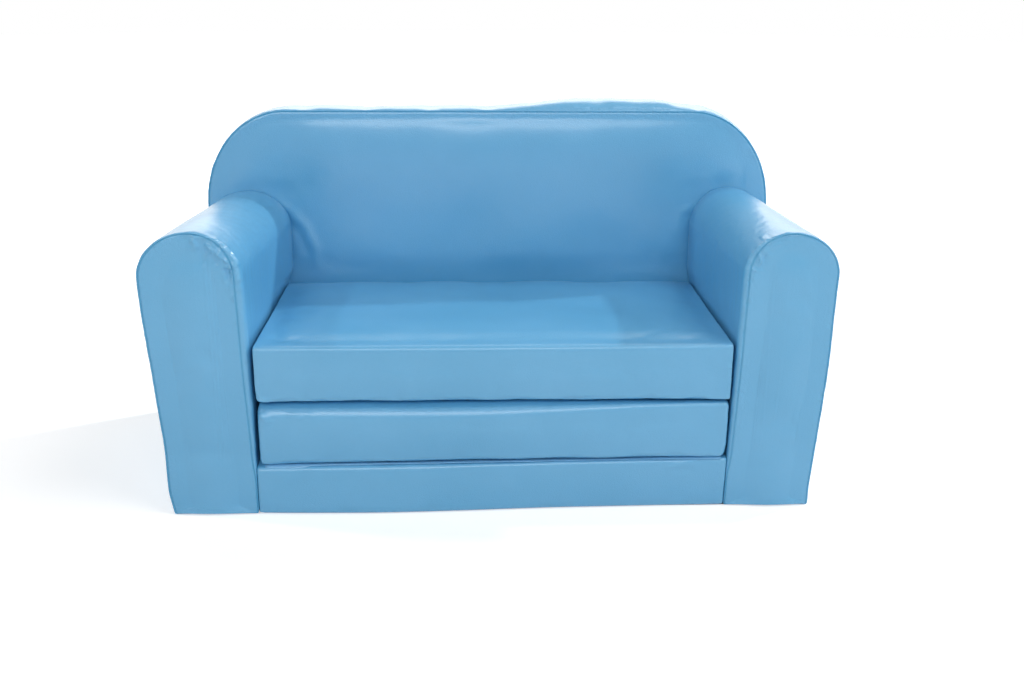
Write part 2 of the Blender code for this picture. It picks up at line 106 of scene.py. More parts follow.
def addCamera():
    pitch, yaw, roll = photo["pitch"], photo["yaw"], photo["roll"]
    ahead = Vector((math.sin(yaw) * math.cos(pitch), math.cos(yaw) * math.cos(pitch),
                    -math.sin(pitch)))
    right = Vector((math.cos(yaw), -math.sin(yaw), 0))
    up = right.cross(ahead)
    tiltedRight = right * math.cos(roll) + up * math.sin(roll)
    tiltedUp = up * math.cos(roll) - right * math.sin(roll)
    camera = bpy.data.objects.new("camera", bpy.data.cameras.new("camera"))
    camera.matrix_world = Matrix.Translation(photo["place"]) @ Matrix(
        (tiltedRight, tiltedUp, -ahead)).transposed().to_4x4()
    camera.data.lens = photo["focalLength"]
    camera.data.sensor_width = photo["sensorWidth"]
    camera.data.sensor_fit = "HORIZONTAL"
    scene.collection.objects.link(camera)
    scene.camera = camera


addCamera()
print("camera placed")


# shaping helpers


def mix(low, high, share):
    return low + (high - low) * share


def ease(low, high, value):  # 0 up to low, 1 from high on, smooth between
    share = min(1, max(0, (value - low) / (high - low)))
    return share * share * (3 - 2 * share)


def fullness(*shares):  # 1 in the middle, 0 where a share reaches -1 or 1
    full = 1
    for share in shares:
        full *= 1 - min(1, abs(share)) ** 2
    return full


def shareOf(value, low, high):  # -1 at low, 1 at high
    return 2 * (value - low) / (high - low) - 1


def footReach(x, y, z):  # how far the cover is pushed forward near the floor
    low = max(0, 1 - z / sofa["footTop"]) * (1 - ease(*sofa["footFade"], y - seamY))
    left, right = sofa["footReach"]
    near, far = sofa["footRight"]
    return low * (mix(left, 0, ease(*sofa["footLean"], x))
                  + right * ease(seatHalf + near, seatHalf + far, x))


def toFloor(z):  # how far the front's bottom edge comes down past the cloth underneath
    return (footZ - sofa["floorGap"]) * (1 - ease(.001, .012, z))


def crowd(share, strength):  # brings the steps closer together towards both ends
    return mix(share, math.sin(share * math.pi / 2), strength)


def ripple(place, size, seed=0):  # smooth noise, about -1 to 1
    return 2 * noise.noise(Vector((place[0] / size, place[1] / size, place[2] / size + seed)))


def ridgeHeight(ridges, u, v):
    # how much a set of creases lifts the point (u, v); each runs along a few points, with soft ends
    total = 0
    for *line, width, height in ridges:
        nearest = 9, 0
        for step, ((u0, v0), (u1, v1)) in enumerate(zip(line, line[1:])):
            du, dv = u1 - u0, v1 - v0
            share = ((u - u0) * du + (v - v0) * dv) / (du * du + dv * dv)
            share = min(1, max(0, share))
            away = math.hypot(u - u0 - share * du, v - v0 - share * dv)
            nearest = min(nearest, (away, (step + share) / (len(line) - 1)))
        away, along = nearest
        if away < 3 * width:
            total += height * math.exp(-(away / width) ** 2) * (1 - (2 * along - 1) ** 4)
    return total


def pieceFrom(bm, name, smooth=True):
    mesh = bpy.data.meshes.new(name)
    bm.to_mesh(mesh)
    bm.free()
    if smooth:
        mesh.shade_smooth()
    piece = bpy.data.objects.new(name, mesh)
    scene.collection.objects.link(piece)
    return piece


def attach(piece, body, material):
    piece.data.materials.append(material)
    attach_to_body(piece, body)


def padShell(name, steps, place):
    # a closed shell of quads; place(across, depth, height) turns shares from -1 to 1 into a point,
    # its distance from the nearest seam, how far the cover may still move there, and how far
    # along the seam it lies
    bm = bmesh.new()
    bmesh.ops.create_cube(bm, size=2)
    for axis, count in enumerate(steps):
        whole = [e for e in bm.edges if abs(e.verts[0].co[axis] - e.verts[1].co[axis]) > 1]
        bmesh.ops.subdivide_edges(bm, edges=whole, cuts=count - 1, use_grid_fill=True)
    seamLayer = bm.verts.layers.float.new("seamGap")
    roomLayer = bm.verts.layers.float.new("room")
    runLayer = bm.verts.layers.float.new("seamRun")
    for vert in bm.verts:
        vert.co, vert[seamLayer], vert[roomLayer], vert[runLayer] = place(*vert.co)
    if bm.calc_volume(signed=True) < 0:
        bmesh.ops.reverse_faces(bm, faces=bm.faces)
    return pieceFrom(bm, name)


def valuesOf(piece, name):
    values = [0.0] * len(piece.data.vertices)
    piece.data.attributes[name].data.foreach_get("value", values)
    return values


def undulate(piece, waves, seed):
    # slow swells of the foam and cover, (wave length, height) each, where there is room for them
    normals = [vert.normal.copy() for vert in piece.data.vertices]
    for vert, normal, room in zip(piece.data.vertices, normals, valuesOf(piece, "room")):
        rise = sum(height * ripple(vert.co, size, seed + size) for size, height in waves)
        if room > 0:
            vert.co += normal * room * math.tanh(rise / room)


def puff(piece, puffing):
    # cloth under a little air pressure; seams and touching faces are held, and no point moves
    # further than the room it has
    rooms = valuesOf(piece, "room")
    held = piece.vertex_groups.new(name="held")
    for index, room in enumerate(rooms):
        held.add([index], 1 - min(1, room / puffing["freeFrom"]), "REPLACE")
    cloth = piece.modifiers.new("cloth", "CLOTH")
    settings = cloth.settings
    settings.quality = puffing["quality"]
    settings.mass = puffing["mass"]
    settings.tension_stiffness = settings.compression_stiffness = puffing["stretch"]
    settings.shear_stiffness = puffing["shear"]
    settings.bending_stiffness = puffing["bend"]
    settings.vertex_group_mass = held.name
    settings.shrink_min = -puffing["spareCloth"]
    settings.use_pressure = True
    settings.uniform_pressure_force = puffing["pressure"]
    settings.effector_weights.gravity = 0
    cloth.point_cache.frame_start = 1
    cloth.point_cache.frame_end = puffing["frames"]
    for number in range(1, puffing["frames"] + 1):
        scene.frame_set(number)
    filled = piece.evaluated_get(bpy.context.evaluated_depsgraph_get()).data
    moves = [new.co - old.co for new, old in zip(filled.vertices, piece.data.vertices)]
    piece.modifiers.remove(cloth)
    for vert, move, room in zip(piece.data.vertices, moves, rooms):
        vert.co += move * (room / max(room, move.length)) if room else Vector()
    scene.frame_set(1)


def refine(piece, rise):
    # one subdivision, then the fine folds: rise(point, seam distance, seam run) lifts the skin
    smoother = piece.modifiers.new("smooth skin", "SUBSURF")
    smoother.levels = smoother.render_levels = 1
    graph = bpy.context.evaluated_depsgraph_get()
    smooth = bpy.data.meshes.new_from_object(piece.evaluated_get(graph), depsgraph=graph,
                                             preserve_all_data_layers=True)
    piece.modifiers.remove(smoother)
    piece.vertex_groups.clear()
    piece.data = smooth
    smooth.name = piece.name
    normals = [vert.normal.copy() for vert in smooth.vertices]
    gaps, runs = valuesOf(piece, "seamGap"), valuesOf(piece, "seamRun")
    for vert, normal, gap, run in zip(smooth.vertices, normals, gaps, runs):
        vert.co += normal * rise(vert.co, gap, run)


def gathers(run, gap, seed, strength, reach=.010):
    # small folds across a seam where the cover is eased onto it, none the same
    wave = ripple((run, seed, 0), .0065, 1.7) + .7 * ripple((run, seed, gap / .03), .015, 5.3)
    return strength * wave * math.exp(-gap / reach)


def finishPad(piece, body, *nodes):
    attach(piece, body, coverVinyl)
    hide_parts(*nodes)
    print(piece.name, len(piece.data.vertices), "points")


puffing = {
    "pressure": 4, "frames": 20, "quality": 4, "mass": .3, "stretch": 20, "shear": 8,
    "bend": .6, "spareCloth": .004, "freeFrom": .001,
}


def edgeRings(faceOffsets, groove, turns):
    # the rows that run from a face out over its seam and round its edge: each gives how far in
    # from the edge's rounding it lies, the angle round the edge, and how deep it is drawn in
    rings = [(offset, 90, 0) for offset in faceOffsets]
    rings.append((groove["offset"], 90, groove["depth"]))
    return rings + [(0, turn, 0) for turn in turns]


def ringPlace(ring, radius):
    # (how far inside the section, how far behind the face, distance from the seam)
    offset, turn, sunk = ring
    angle = math.radians(turn)
    inset = offset + radius * (1 - math.cos(angle))
    behind = radius * (1 - math.sin(angle)) + sunk
    return inset, behind, offset + radius * math.radians(90 - turn)


# materials

skyBlue = (.109, .390, .652)
finishes = {
    # each vinyl's seam darkening is painted shade in its seam grooves
    "coverVinyl": {
        "colour": skyBlue, "tint": .05, "tintSize": .16, "roughLow": .34, "roughHigh": .46,
        "grainSize": .0011, "grainDepth": .00022, "creaseDepth": .0012, "paintedSeamShade": .30,
        "coat": 1, "coatRoughness": .25,
    },
    "hingeVinyl": {
        "colour": (.17, .43, .70), "tint": .04, "tintSize": .05, "roughLow": .30, "roughHigh": .42,
        "grainSize": .0010, "grainDepth": .00018, "creaseDepth": .0015, "paintedSeamShade": .2,
        "coat": .30, "coatRoughness": .2,
    },
    "tapeWeave": {
        "colour": (.11, .31, .53), "tint": .06, "tintSize": .03, "roughLow": .7, "roughHigh": .85,
        "pitch": .0007, "depth": .00012, "sheen": .15,
    },
    "underFabric": {
        "colour": (.030, .034, .042), "tint": .10, "tintSize": .10, "roughLow": .8,
        "roughHigh": .95, "pitch": .0011, "depth": .00020, "sheen": .10,
        "dotPitch": .006, "dotSize": .24, "dotEdge": .05, "rubber": (.075, .080, .090, 1),
        "hem": .008, "hemHalf": .0006,
    },
    "thread": {
        "colour": (.13, .37, .62), "tint": .10, "tintSize": .02, "roughLow": .35, "roughHigh": .6,
        "strand": .0004,
    },
    "nylon": {
        "colour": (.10, .31, .55), "tint": .10, "tintSize": .02, "roughLow": .35, "roughHigh": .6,
        "strand": .0008,
    },
    "zipMetal": {
        "colour": (.62, .62, .63), "tint": .08, "tintSize": .01, "roughLow": .22, "roughHigh": .42,
        "brushing": 1800, "depth": .00002,
    },
}


def nodeGroup(name, inputs, outputs):
    group = bpy.data.node_groups.new(name, "ShaderNodeTree")
    for label, kind, value in inputs:
        socket = group.interface.new_socket(label, in_out="INPUT", socket_type="NodeSocket" + kind)
        if value is not None:
            socket.default_value = value
    for label, kind in outputs:
        group.interface.new_socket(label, in_out="OUTPUT", socket_type="NodeSocket" + kind)
    return group, group.nodes.new("NodeGroupInput"), group.nodes.new("NodeGroupOutput")


def join(tree, source, target):
    tree.links.new(source, target)


def feed(tree, value, socket):  # a node's output is joined, a number or colour is set
    if isinstance(value, bpy.types.NodeSocket):
        join(tree, value, socket)
    elif value is not None:
        socket.default_value = value


def mathNode(tree, operation, first, second=None, third=None, clamp=False):
    node = tree.nodes.new("ShaderNodeMath")
    node.operation = operation
    node.use_clamp = clamp
    for socket, value in zip(node.inputs, (first, second, third)):
        feed(tree, value, socket)
    return node.outputs[0]


def noiseNode(tree, vector, scale, detail=2, roughness=.5, distortion=0):
    node = tree.nodes.new("ShaderNodeTexNoise")
    for label, value in (("Vector", vector), ("Scale", scale), ("Detail", detail),
                         ("Roughness", roughness), ("Distortion", distortion)):
        feed(tree, value, node.inputs[label])
    return node.outputs["Fac"]


def scaledPlace(tree, vector, factor):
    node = tree.nodes.new("ShaderNodeVectorMath")
    node.operation = "SCALE"
    join(tree, vector, node.inputs[0])
    feed(tree, factor, node.inputs["Scale"])
    return node.outputs[0]


def shaded(tree, colour, value, saturation=None):
    node = tree.nodes.new("ShaderNodeHueSaturation")
    for label, given in (("Color", colour), ("Value", value), ("Saturation", saturation)):
        feed(tree, given, node.inputs[label])
    return node.outputs["Color"]


def seamGap(tree):  # how far a point of a cover is from its nearest seam
    node = tree.nodes.new("ShaderNodeAttribute")
    node.attribute_name = "seamGap"
    return node.outputs["Fac"]


def makeGrain():  # the fine pebble that the calender presses into vinyl
    group, given, made = nodeGroup(
        "calenderedGrain", [("Vector", "Vector", None), ("Size", "Float", .001)],
        [("Height", "Float")])
    scale = mathNode(group, "DIVIDE", 1, given.outputs["Size"])
    cells = group.nodes.new("ShaderNodeTexVoronoi")
    cells.feature = "SMOOTH_F1"
    cells.inputs["Smoothness"].default_value = .6
    join(group, given.outputs["Vector"], cells.inputs["Vector"])
    join(group, scale, cells.inputs["Scale"])
    fine = noiseNode(group, given.outputs["Vector"], mathNode(group, "MULTIPLY", scale, 2.5))
    pebble = mathNode(group, "SUBTRACT", 1, cells.outputs["Distance"])
    join(group, mathNode(group, "MULTIPLY_ADD", fine, .35, pebble), made.inputs["Height"])
    return group


def makeTint():  # slow drift of the colour over the skin
    group, given, made = nodeGroup(
        "slowTint", [("Color", "Color", (1, 1, 1, 1)), ("Vector", "Vector", None),
                     ("Size", "Float", .2), ("Amount", "Float", .05)], [("Color", "Color")])
    drift = noiseNode(group, given.outputs["Vector"],
                      mathNode(group, "DIVIDE", 1, given.outputs["Size"]), 3, .55)
    swing = mathNode(group, "MULTIPLY", mathNode(group, "SUBTRACT", drift, .5),
                     given.outputs["Amount"])
    shade = shaded(group, given.outputs["Color"], mathNode(group, "MULTIPLY_ADD", swing, 3, 1),
                   mathNode(group, "MULTIPLY_ADD", swing, -1.5, 1))
    join(group, shade, made.inputs["Color"])
    return group


def makeSeamMask():  # 1 in a seam, fading over the given width
    group, given, made = nodeGroup(
        "seamMask", [("Gap", "Float", 1), ("Width", "Float", .01)], [("Mask", "Float")])
    share = mathNode(group, "DIVIDE", given.outputs["Gap"], given.outputs["Width"])
    falling = mathNode(group, "SUBTRACT", 1, share, clamp=True)
    join(group, mathNode(group, "POWER", falling, 1.6), made.inputs["Mask"])
    return group


def makeHandling():  # rubbed and duller patches, as a roughness
    group, given, made = nodeGroup(
        "handling", [("Vector", "Vector", None), ("Low", "Float", .3), ("High", "Float", .5)],
        [("Roughness", "Float")])
    broad = noiseNode(group, given.outputs["Vector"], 14, 4, .6)
    smears = noiseNode(group, given.outputs["Vector"], 90, 3, .65, .6)
    both = mathNode(group, "MULTIPLY_ADD", smears, .35, mathNode(group, "MULTIPLY", broad, .65))
    span = mathNode(group, "SUBTRACT", given.outputs["High"], given.outputs["Low"])
    join(group, mathNode(group, "MULTIPLY_ADD", both, span, given.outputs["Low"]),
         made.inputs["Roughness"])
    return group


def makeCreases():  # small puckers of the skin beside a seam
    group, given, made = nodeGroup(
        "seamCreases", [("Vector", "Vector", None), ("Mask", "Float", 0)], [("Height", "Float")])
    folds = noiseNode(group, given.outputs["Vector"], 130, 2, .5, 1.2)
    join(group, mathNode(group, "MULTIPLY", folds, given.outputs["Mask"]), made.inputs["Height"])
    return group


def makeWeave():  # threads crossing over and under, 0 between them and 1 on top
    group, given, made = nodeGroup(
        "plainWeave", [("Vector", "Vector", None), ("Pitch", "Float", .001)], [("Height", "Float")])
    split = group.nodes.new("ShaderNodeSeparateXYZ")
    join(group, scaledPlace(group, given.outputs["Vector"], mathNode(
        group, "DIVIDE", math.pi, given.outputs["Pitch"])), split.inputs[0])
    upright = mathNode(group, "ADD", split.outputs[1], split.outputs[2])
    waves = [mathNode(group, "SINE", value) for value in (split.outputs[0], upright)]
    crossed = mathNode(group, "MULTIPLY", *waves)
    rounded = mathNode(group, "ABSOLUTE", crossed)
    over = mathNode(group, "MULTIPLY_ADD", crossed, .3, .3)
    join(group, mathNode(group, "MULTIPLY_ADD", rounded, .4, over, clamp=True),
         made.inputs["Height"])
    return group


groups = {"weave": makeWeave(), "grain": makeGrain(), "tint": makeTint(), "seam": makeSeamMask(),
          "handling": makeHandling(), "creases": makeCreases()}


def useGroup(tree, name, **values):
    node = tree.nodes.new("ShaderNodeGroup")
    node.node_tree = groups[name]
    for label, value in values.items():
        feed(tree, value, node.inputs[label.capitalize()])
    return node.outputs[0]


def newMaterial(name):
    material = bpy.data.materials.new(name)
    material.use_nodes = True
    tree = material.node_tree
    return material, tree, tree.nodes["Principled BSDF"]


def objectPlace(tree):
    return tree.nodes.new("ShaderNodeTexCoord").outputs["Object"]


def addBump(tree, shader, height, distance, before=None):
    bump = tree.nodes.new("ShaderNodeBump")
    bump.inputs["Distance"].default_value = distance
    join(tree, height, bump.inputs["Height"])
    if before:
        join(tree, before, bump.inputs["Normal"])
    join(tree, bump.outputs["Normal"], shader.inputs["Normal"])
    return bump.outputs["Normal"]


def startFinish(name):
    # a material with its drifting colour, which still has to be joined, and its rubbed gloss
    finish = finishes[name]
    material, tree, shader = newMaterial(name)
    place = objectPlace(tree)
    tinted = useGroup(tree, "tint", color=(*finish["colour"], 1), vector=place,
                      size=finish["tintSize"], amount=finish["tint"])
    join(tree, useGroup(tree, "handling", vector=place, low=finish["roughLow"],
                        high=finish["roughHigh"]), shader.inputs["Roughness"])
    return finish, material, tree, shader, place, tinted


def vinyl(name):
    finish, material, tree, shader, place, tinted = startFinish(name)
    gap = seamGap(tree)
    # painted shade: within a couple of millimetres of each seam the colour is darkened and made
    # more saturated, as the shade in the seam groove
    deep = useGroup(tree, "seam", gap=gap, width=.0022)
    beside = useGroup(tree, "seam", gap=gap, width=.022)
    join(tree, shaded(tree, tinted, mathNode(tree, "MULTIPLY_ADD", deep, -finish["paintedSeamShade"], 1),
                      mathNode(tree, "MULTIPLY_ADD", deep, .18, 1)), shader.inputs["Base Color"])
    creases = useGroup(tree, "creases", vector=place, mask=beside)
    grain = useGroup(tree, "grain", vector=place, size=finish["grainSize"])
    creased = addBump(tree, shader, creases, finish["creaseDepth"])
    addBump(tree, shader, grain, finish["grainDepth"], creased)
    shader.inputs["Specular IOR Level"].default_value = .35
    shader.inputs["Coat Weight"].default_value = finish["coat"]
    shader.inputs["Coat Roughness"].default_value = finish["coatRoughness"]
    return material


def woven(name):  # plain weave, seen as bumps and as a faint change of colour
    finish, material, tree, shader, place, tinted = startFinish(name)
    threads = useGroup(tree, "weave", vector=place, pitch=finish["pitch"])
    colour = shaded(tree, tinted, mathNode(tree, "MULTIPLY_ADD", threads, .35, .72))
    join(tree, colour, shader.inputs["Base Color"])
    shader.inputs["Sheen Weight"].default_value = finish["sheen"]
    addBump(tree, shader, threads, finish["depth"])
    return material, tree, shader, colour


def dotted(tree, place, finish):  # raised rubber dots in a square grid, 1 on a dot
    split = tree.nodes.new("ShaderNodeSeparateXYZ")
    join(tree, scaledPlace(tree, place, 1 / finish["dotPitch"]), split.inputs[0])
    offs = [mathNode(tree, "SUBTRACT", mathNode(tree, "FRACT", split.outputs[axis]), .5)
            for axis in (0, 1)]
    squares = [mathNode(tree, "POWER", mathNode(tree, "ABSOLUTE", off), 2) for off in offs]
    away = mathNode(tree, "SQRT", mathNode(tree, "ADD", *squares))
    return mathNode(tree, "DIVIDE", mathNode(tree, "SUBTRACT", finish["dotSize"], away),
                    finish["dotEdge"], clamp=True)


def underMaterial(name):
    finish = finishes[name]
    material, tree, shader, colour = woven(name)
    dots = dotted(tree, objectPlace(tree), finish)
    hem = mathNode(tree, "LESS_THAN", mathNode(tree, "ABSOLUTE", mathNode(
        tree, "SUBTRACT", seamGap(tree), finish["hem"])), finish["hemHalf"])
    rubber = tree.nodes.new("ShaderNodeMix")
    rubber.data_type = "RGBA"
    join(tree, mathNode(tree, "MAXIMUM", dots, hem), rubber.inputs["Factor"])
    join(tree, colour, rubber.inputs[6])
    rubber.inputs[7].default_value = finish["rubber"]
    join(tree, rubber.outputs[2], shader.inputs["Base Color"])
    return material


def yarn(name):  # twisted sewing thread or drawn nylon
    finish, material, tree, shader, place, tinted = startFinish(name)
    strands = noiseNode(tree, place, 1 / finish["strand"], 2, .6, 1.5)
    join(tree, shaded(tree, tinted, mathNode(tree, "MULTIPLY_ADD", strands, .5, .75)),
         shader.inputs["Base Color"])
    addBump(tree, shader, strands, finish["strand"] * .3)
    return material


def nickel(name):
    finish, material, tree, shader, place, tinted = startFinish(name)
    join(tree, tinted, shader.inputs["Base Color"])
    shader.inputs["Metallic"].default_value = 1
    addBump(tree, shader, noiseNode(tree, place, finish["brushing"], 3, .7), finish["depth"])
    return material


coverVinyl, hingeVinyl = vinyl("coverVinyl"), vinyl("hingeVinyl")
tapeWeave = woven("tapeWeave")[0]
underFabric = underMaterial("underFabric")
thread, nylon = yarn("thread"), yarn("nylon")
zipMetal = nickel("zipMetal")
print("materials mixed")


# arms

arm = {
    "clearance": .0010, "rearClearance": .0005,   # from a mattress panel's end
    "thickness": .1024, "height": .3415, "rearDrop": .006, "rise": .050,
    "crownRise": {-1: .0022, 1: .0000},
    "innerLean": .0060, "innerFoot": {-1: .0030, 1: .0002}, "innerFootFade": (.02, .22),
    "outerLean": .0165,
    "outerFull": {-1: .0050, 1: .0028},           # swell of the outer side
    "outerTop": {-1: .0030, 1: -.0030},           # how much further out the shoulder stands
    "outerTopFrom": (.16, .28),
    "outerFoot": {-1: .0046, 1: .0002}, "outerFootFade": (.01, .10),
    "footTuck": {-1: .0030, 1: -.0018},           # how far the last of it turns in at the floor
    "footTuckFade": {-1: (.002, .030), 1: (.002, .024)},
    "rearSwell": {-1: .0085, 1: .0042},           # how far it leans in over the seat at the back
    "rearSwellFrom": (.35, .95), "overSeat": (-.001, .022),
    "rearSink": {-1: .0050, 1: -.0020},           # how much lower the dome ends there
    "rearRoll": .0085, "rearEdge": .0020,
    "edgeRadius": .0022, "innerEdgeLow": .0045, "innerEdgeHigh": {-1: .0088, 1: .0064},
    "columns": 60, "rows": 44, "lengths": 32, "rowCrowd": .35, "lengthCrowd": .35,
    "waves": ((.110, .0008), (.045, .0002)), "seed": {-1: 11, 1: 5},
    "frontRoom": .003, "wrapRoom": .0006,
    "gather": .00022, "roundGather": {-1: .0010, 1: .0006},   # where the wrap is eased round
    "puffing": {"bend": 4, "spareCloth": .0015},
}
armEndY = backY - .0003
frontGroove = {"offset": .0003, "depth": .0012}
armFrontRings = edgeRings((.022, .017, .0125, .0090, .0062, .0040, .0024, .0012), frontGroove,
                          (80, 62, 44, 26, 8))
armRearTurns = (12, 30, 50, 70, 86)

# lens-shaped puckers and creases of the fronts: points in (x, z), width, height
armCreases = {
    -1: (((-.3270, .338), (-.3275, .322), (-.3250, .303), .0055, -.0022),
         ((-.3400, .3360), (-.3340, .3310), (-.3330, .3240), .0030, .0022),
         ((-.3250, .3300), (-.3180, .3250), (-.3150, .3200), .0026, .0032),
         ((-.3140, .3215), (-.3085, .3165), (-.3060, .3120), .0022, .0032),
         ((-.3050, .3140), (-.3000, .3080), .0020, .0030),
         ((-.2990, .3040), (-.2965, .2960), .0018, .0022),
         ((-.3050, .3030), (-.3010, .2990), (-.3000, .2840), .0024, -.0026),
         ((-.3010, .2990), (-.2950, .3010), .0018, -.0018),
         ((-.3220, .3180), (-.3100, .3060), .0030, -.0016),
         ((-.3390, .3290), (-.3380, .3220), .0060, .0010),
         ((-.2980, .268), (-.2950, .263), .0014, .0018)),
    1: (((.2990, .3215), (.3035, .3100), (.3030, .3040), .0022, .0028),
        ((.305, .331), (.311, .337), .0022, .0020), ((.288, .284), (.2965, .287), .0020, -.0018),
        ((.2885, .258), (.295, .261), .0020, -.0016), ((.287, .221), (.292, .224), .0018, -.0015),
        ((.308, .318), (.3045, .298), .0030, -.0012), ((.2930, .300), (.2985, .297), .0020, .0016)),
}


def alongArm(y):  # 0 at the front seam, 1 where the arm meets the back
    return (y - seamY) / (armEndY - seamY)


def shoulderZ(y):
    return arm["height"] - arm["rearDrop"] * alongArm(y) - arm["rise"]


def armInnerX(side, y, z):
    along = alongArm(y)
    inner = seatHalf + mix(arm["clearance"], arm["rearClearance"], along)
    inner += arm["innerLean"] * (1 - along) * min(1, z / shoulderZ(y))
    inner += arm["innerFoot"][side] * (1 - along) * (1 - ease(*arm["innerFootFade"], z))
    low, high = arm["overSeat"]
    over = ease(seatZ + low, seatZ + high, z)
    return inner - arm["rearSwell"][side] * ease(*arm["rearSwellFrom"], along) * over


def armOuterX(side, y, z):
    along = alongArm(y)
    shoulder = shoulderZ(y)
    outer = seatHalf + mix(arm["clearance"], arm["rearClearance"], along) + arm["thickness"]
    outer += arm["outerLean"] * (1 - along) * min(1, z / shoulder)
    outer += arm["outerFull"][side] * fullness(shareOf(z, footZ, shoulder + .045))
    outer += arm["outerTop"][side] * ease(*arm["outerTopFrom"], z)
    outer += arm["outerFoot"][side] * (1 - ease(*arm["outerFootFade"], z))
    return outer - arm["footTuck"][side] * (1 - ease(*arm["footTuckFade"][side], z))


def armPoint(side, across, height, y, inset):
    angle = math.pi * (across + 1) / 2
    shoulder = shoulderZ(y)
    share = crowd((height + 1) / 2, arm["rowCrowd"])
    sunk = arm["rearSink"][side] * ease(.1, 1, alongArm(y))
    top = shoulder + (arm["rise"] + arm["crownRise"][side] - sunk - inset) * math.sin(angle)
    z = mix(footZ + inset * sofa["footInset"], top, share)
    inner, outer = armInnerX(side, y, z) + inset, armOuterX(side, y, z) - inset
    inwards = mix((across + 1) / 2, (1 - math.cos(angle)) / 2, ease(0, 1, share))
    return Vector((side * mix(inner, outer, inwards), y, z))


def armEdgeRadius(side, across, height):
    # tight over the top and down the outer side, full down the inner side, tight again by the base
    z = armPoint(1, across, height, seamY, 0).z
    inner = mix(arm["innerEdgeLow"], arm["innerEdgeHigh"][side], ease(.06, .2, z))
    inner *= ease(.035, .07, z) * .75 + .25
    return mix(inner, arm["edgeRadius"], ease(-.95, -.15, across))


def armRearRadius(across, height):
    # the inner side rolls softly away from the seat where it meets the back
    z = armPoint(1, across, height, armEndY, 0).z
    onInner = ease(.2, .7, -across) * ease(seatZ, seatZ + .03, z)
    return mix(arm["rearEdge"], arm["rearRoll"], onInner)


def armSeamRun(across, height):
    # length along the front seam from the top of the round, negative on the inner side
    if abs(across) > .999:
        down = (1 - crowd((height + 1) / 2, arm["rowCrowd"])) * shoulderZ(seamY)
        return math.copysign(arm["rise"] * math.pi / 2 + down, across)
    return arm["rise"] * math.pi * across / 2


def buildArm(name, side):
    lastFront, lastLength = len(armFrontRings), len(armFrontRings) + arm["lengths"]
    ringCount = lastLength + len(armRearTurns)

    def place(across, depth, height):
        number = round((depth + 1) / 2 * ringCount)
        radius = armEdgeRadius(side, across, height)
        run = armSeamRun(across, height)
        if number < lastFront:
            inset, behind, gap = ringPlace(armFrontRings[number], radius)
            point = armPoint(side, across, height, seamY + behind, inset)
            foot = 1 - ease(.004, .05, point.z)
            share = ease(0, 1, (height + 1) / 2)
            beside = mix(across, math.sin(math.pi * across / 2), share)   # seen from the front
            if armFrontRings[number][1] == 90:
                crown = mix(fullness(beside, height), 1.2 * fullness(beside), foot)
                point.y -= sofa["frontCrown"] * crown
            point.z -= toFloor(point.z)
            point.y -= footReach(*point)
            spread = ease(0, .6, fullness(beside, height))
            return point, gap, arm["frontRoom"] * spread if number == 0 else 0, run
        if number <= lastLength:
            share = (number - lastFront) / arm["lengths"]
            share = mix(share, share * share, arm["lengthCrowd"])
            y = mix(seamY + radius, armEndY - armRearRadius(across, height), share)
            gap = radius * math.pi / 2 + y - seamY - radius
            point = armPoint(side, across, height, y, 0)
            point.y -= footReach(*point)
            over = ease(seatZ + .004, seatZ + .03, point.z) if across < -.999 else 1
            room = arm["wrapRoom"] * over * ease(.004, .02, point.z)
            return point, min(gap, 1), room * ease(.006, .03, gap) * (1 - ease(.93, 1, share)), run
        turn = math.radians(armRearTurns[number - lastLength - 1])
        roll = armRearRadius(across, height)
        point = armPoint(side, across, height, armEndY - roll * (1 - math.sin(turn)),
                         roll * (1 - math.cos(turn)))
        return point, 1, 0, run

    def rise(point, gap, run):
        onInnerRound = ease(-.125, -.085, run) * (1 - ease(-.014, .015, run))
        strength = arm["gather"] + arm["roundGather"][side] * onInnerRound
        lifted = gathers(run, gap, side * 3.7, strength)
        nearFront = 1 - ease(.016, .034, point.y - seamY)
        lifted += ridgeHeight(armCreases[side], point.x, point.z) * nearFront
        return ease(0, .0016, gap) * lifted * ease(.05, .08, point.z)

    piece = padShell(f"{name}ArmCover", (arm["columns"], ringCount, arm["rows"]), place)
    undulate(piece, arm["waves"], arm["seed"][side])
    puff(piece, puffing | arm["puffing"])
    refine(piece, rise)
    finishPad(piece, "carcase", f"{name}_arm_foam", f"{name}_arm_front_panel", f"{name}_arm_wrap")


buildArm("left", -1)
buildArm("right", 1)


# back

back = {
    "half": .3836, "height": .441, "cornerWidth": .110, "cornerHeight": .130,
    "cornerShare": 6 / 13, "edgeRadius": .0022, "frontCrown": .0045, "rearCrown": .0035,
    "columns": 104, "rows": 60, "boxingRows": 12, "lowBand": (.40, .075),
    "waves": ((.150, .0017), (.065, .0006)), "seed": 23,
    "zipZ": .045, "zipHalf": .300, "zipDepth": .0014, "zipChannel": (.012, .0165),
    "frontRoom": .0026, "rearRoom": .0035, "boxingRoom": .0012,
    "roll": .0068, "rollFrom": .011, "rollFall": .018,   # soft roll just under the top seam
    "behindArms": (-.012, .002), "aboveArms": (.330, .350),   # where the front is free to swell
}
boxing = {
    "flatTo": (.245, .300), "bumpRise": (-.020, .130), "bumpFall": (.215, .300),
    "bump": .0108, "bumpRun": .0075,   # how high it stands, and how soon behind the front seam
    # how far it swells between its seams, and how high its rear edge lies: beside the bump and at
    # it, then on the two rounded sides
    "belly": (.0030, -.0010), "sideBelly": {-1: -.0010, 1: .0030},
    "rear": (-.0075, .0022), "sideRear": {-1: -.0030, 1: -.0010},
    # where it is pinched along the top seam, and how far it puffs up between
    "pinches": (-.3434, -.2467, -.1647, -.0798, -.0025, .145, .2557, .2803),
    "pinchWidth": .0075, "puffHeight": .0026, "puffRun": .022,
}
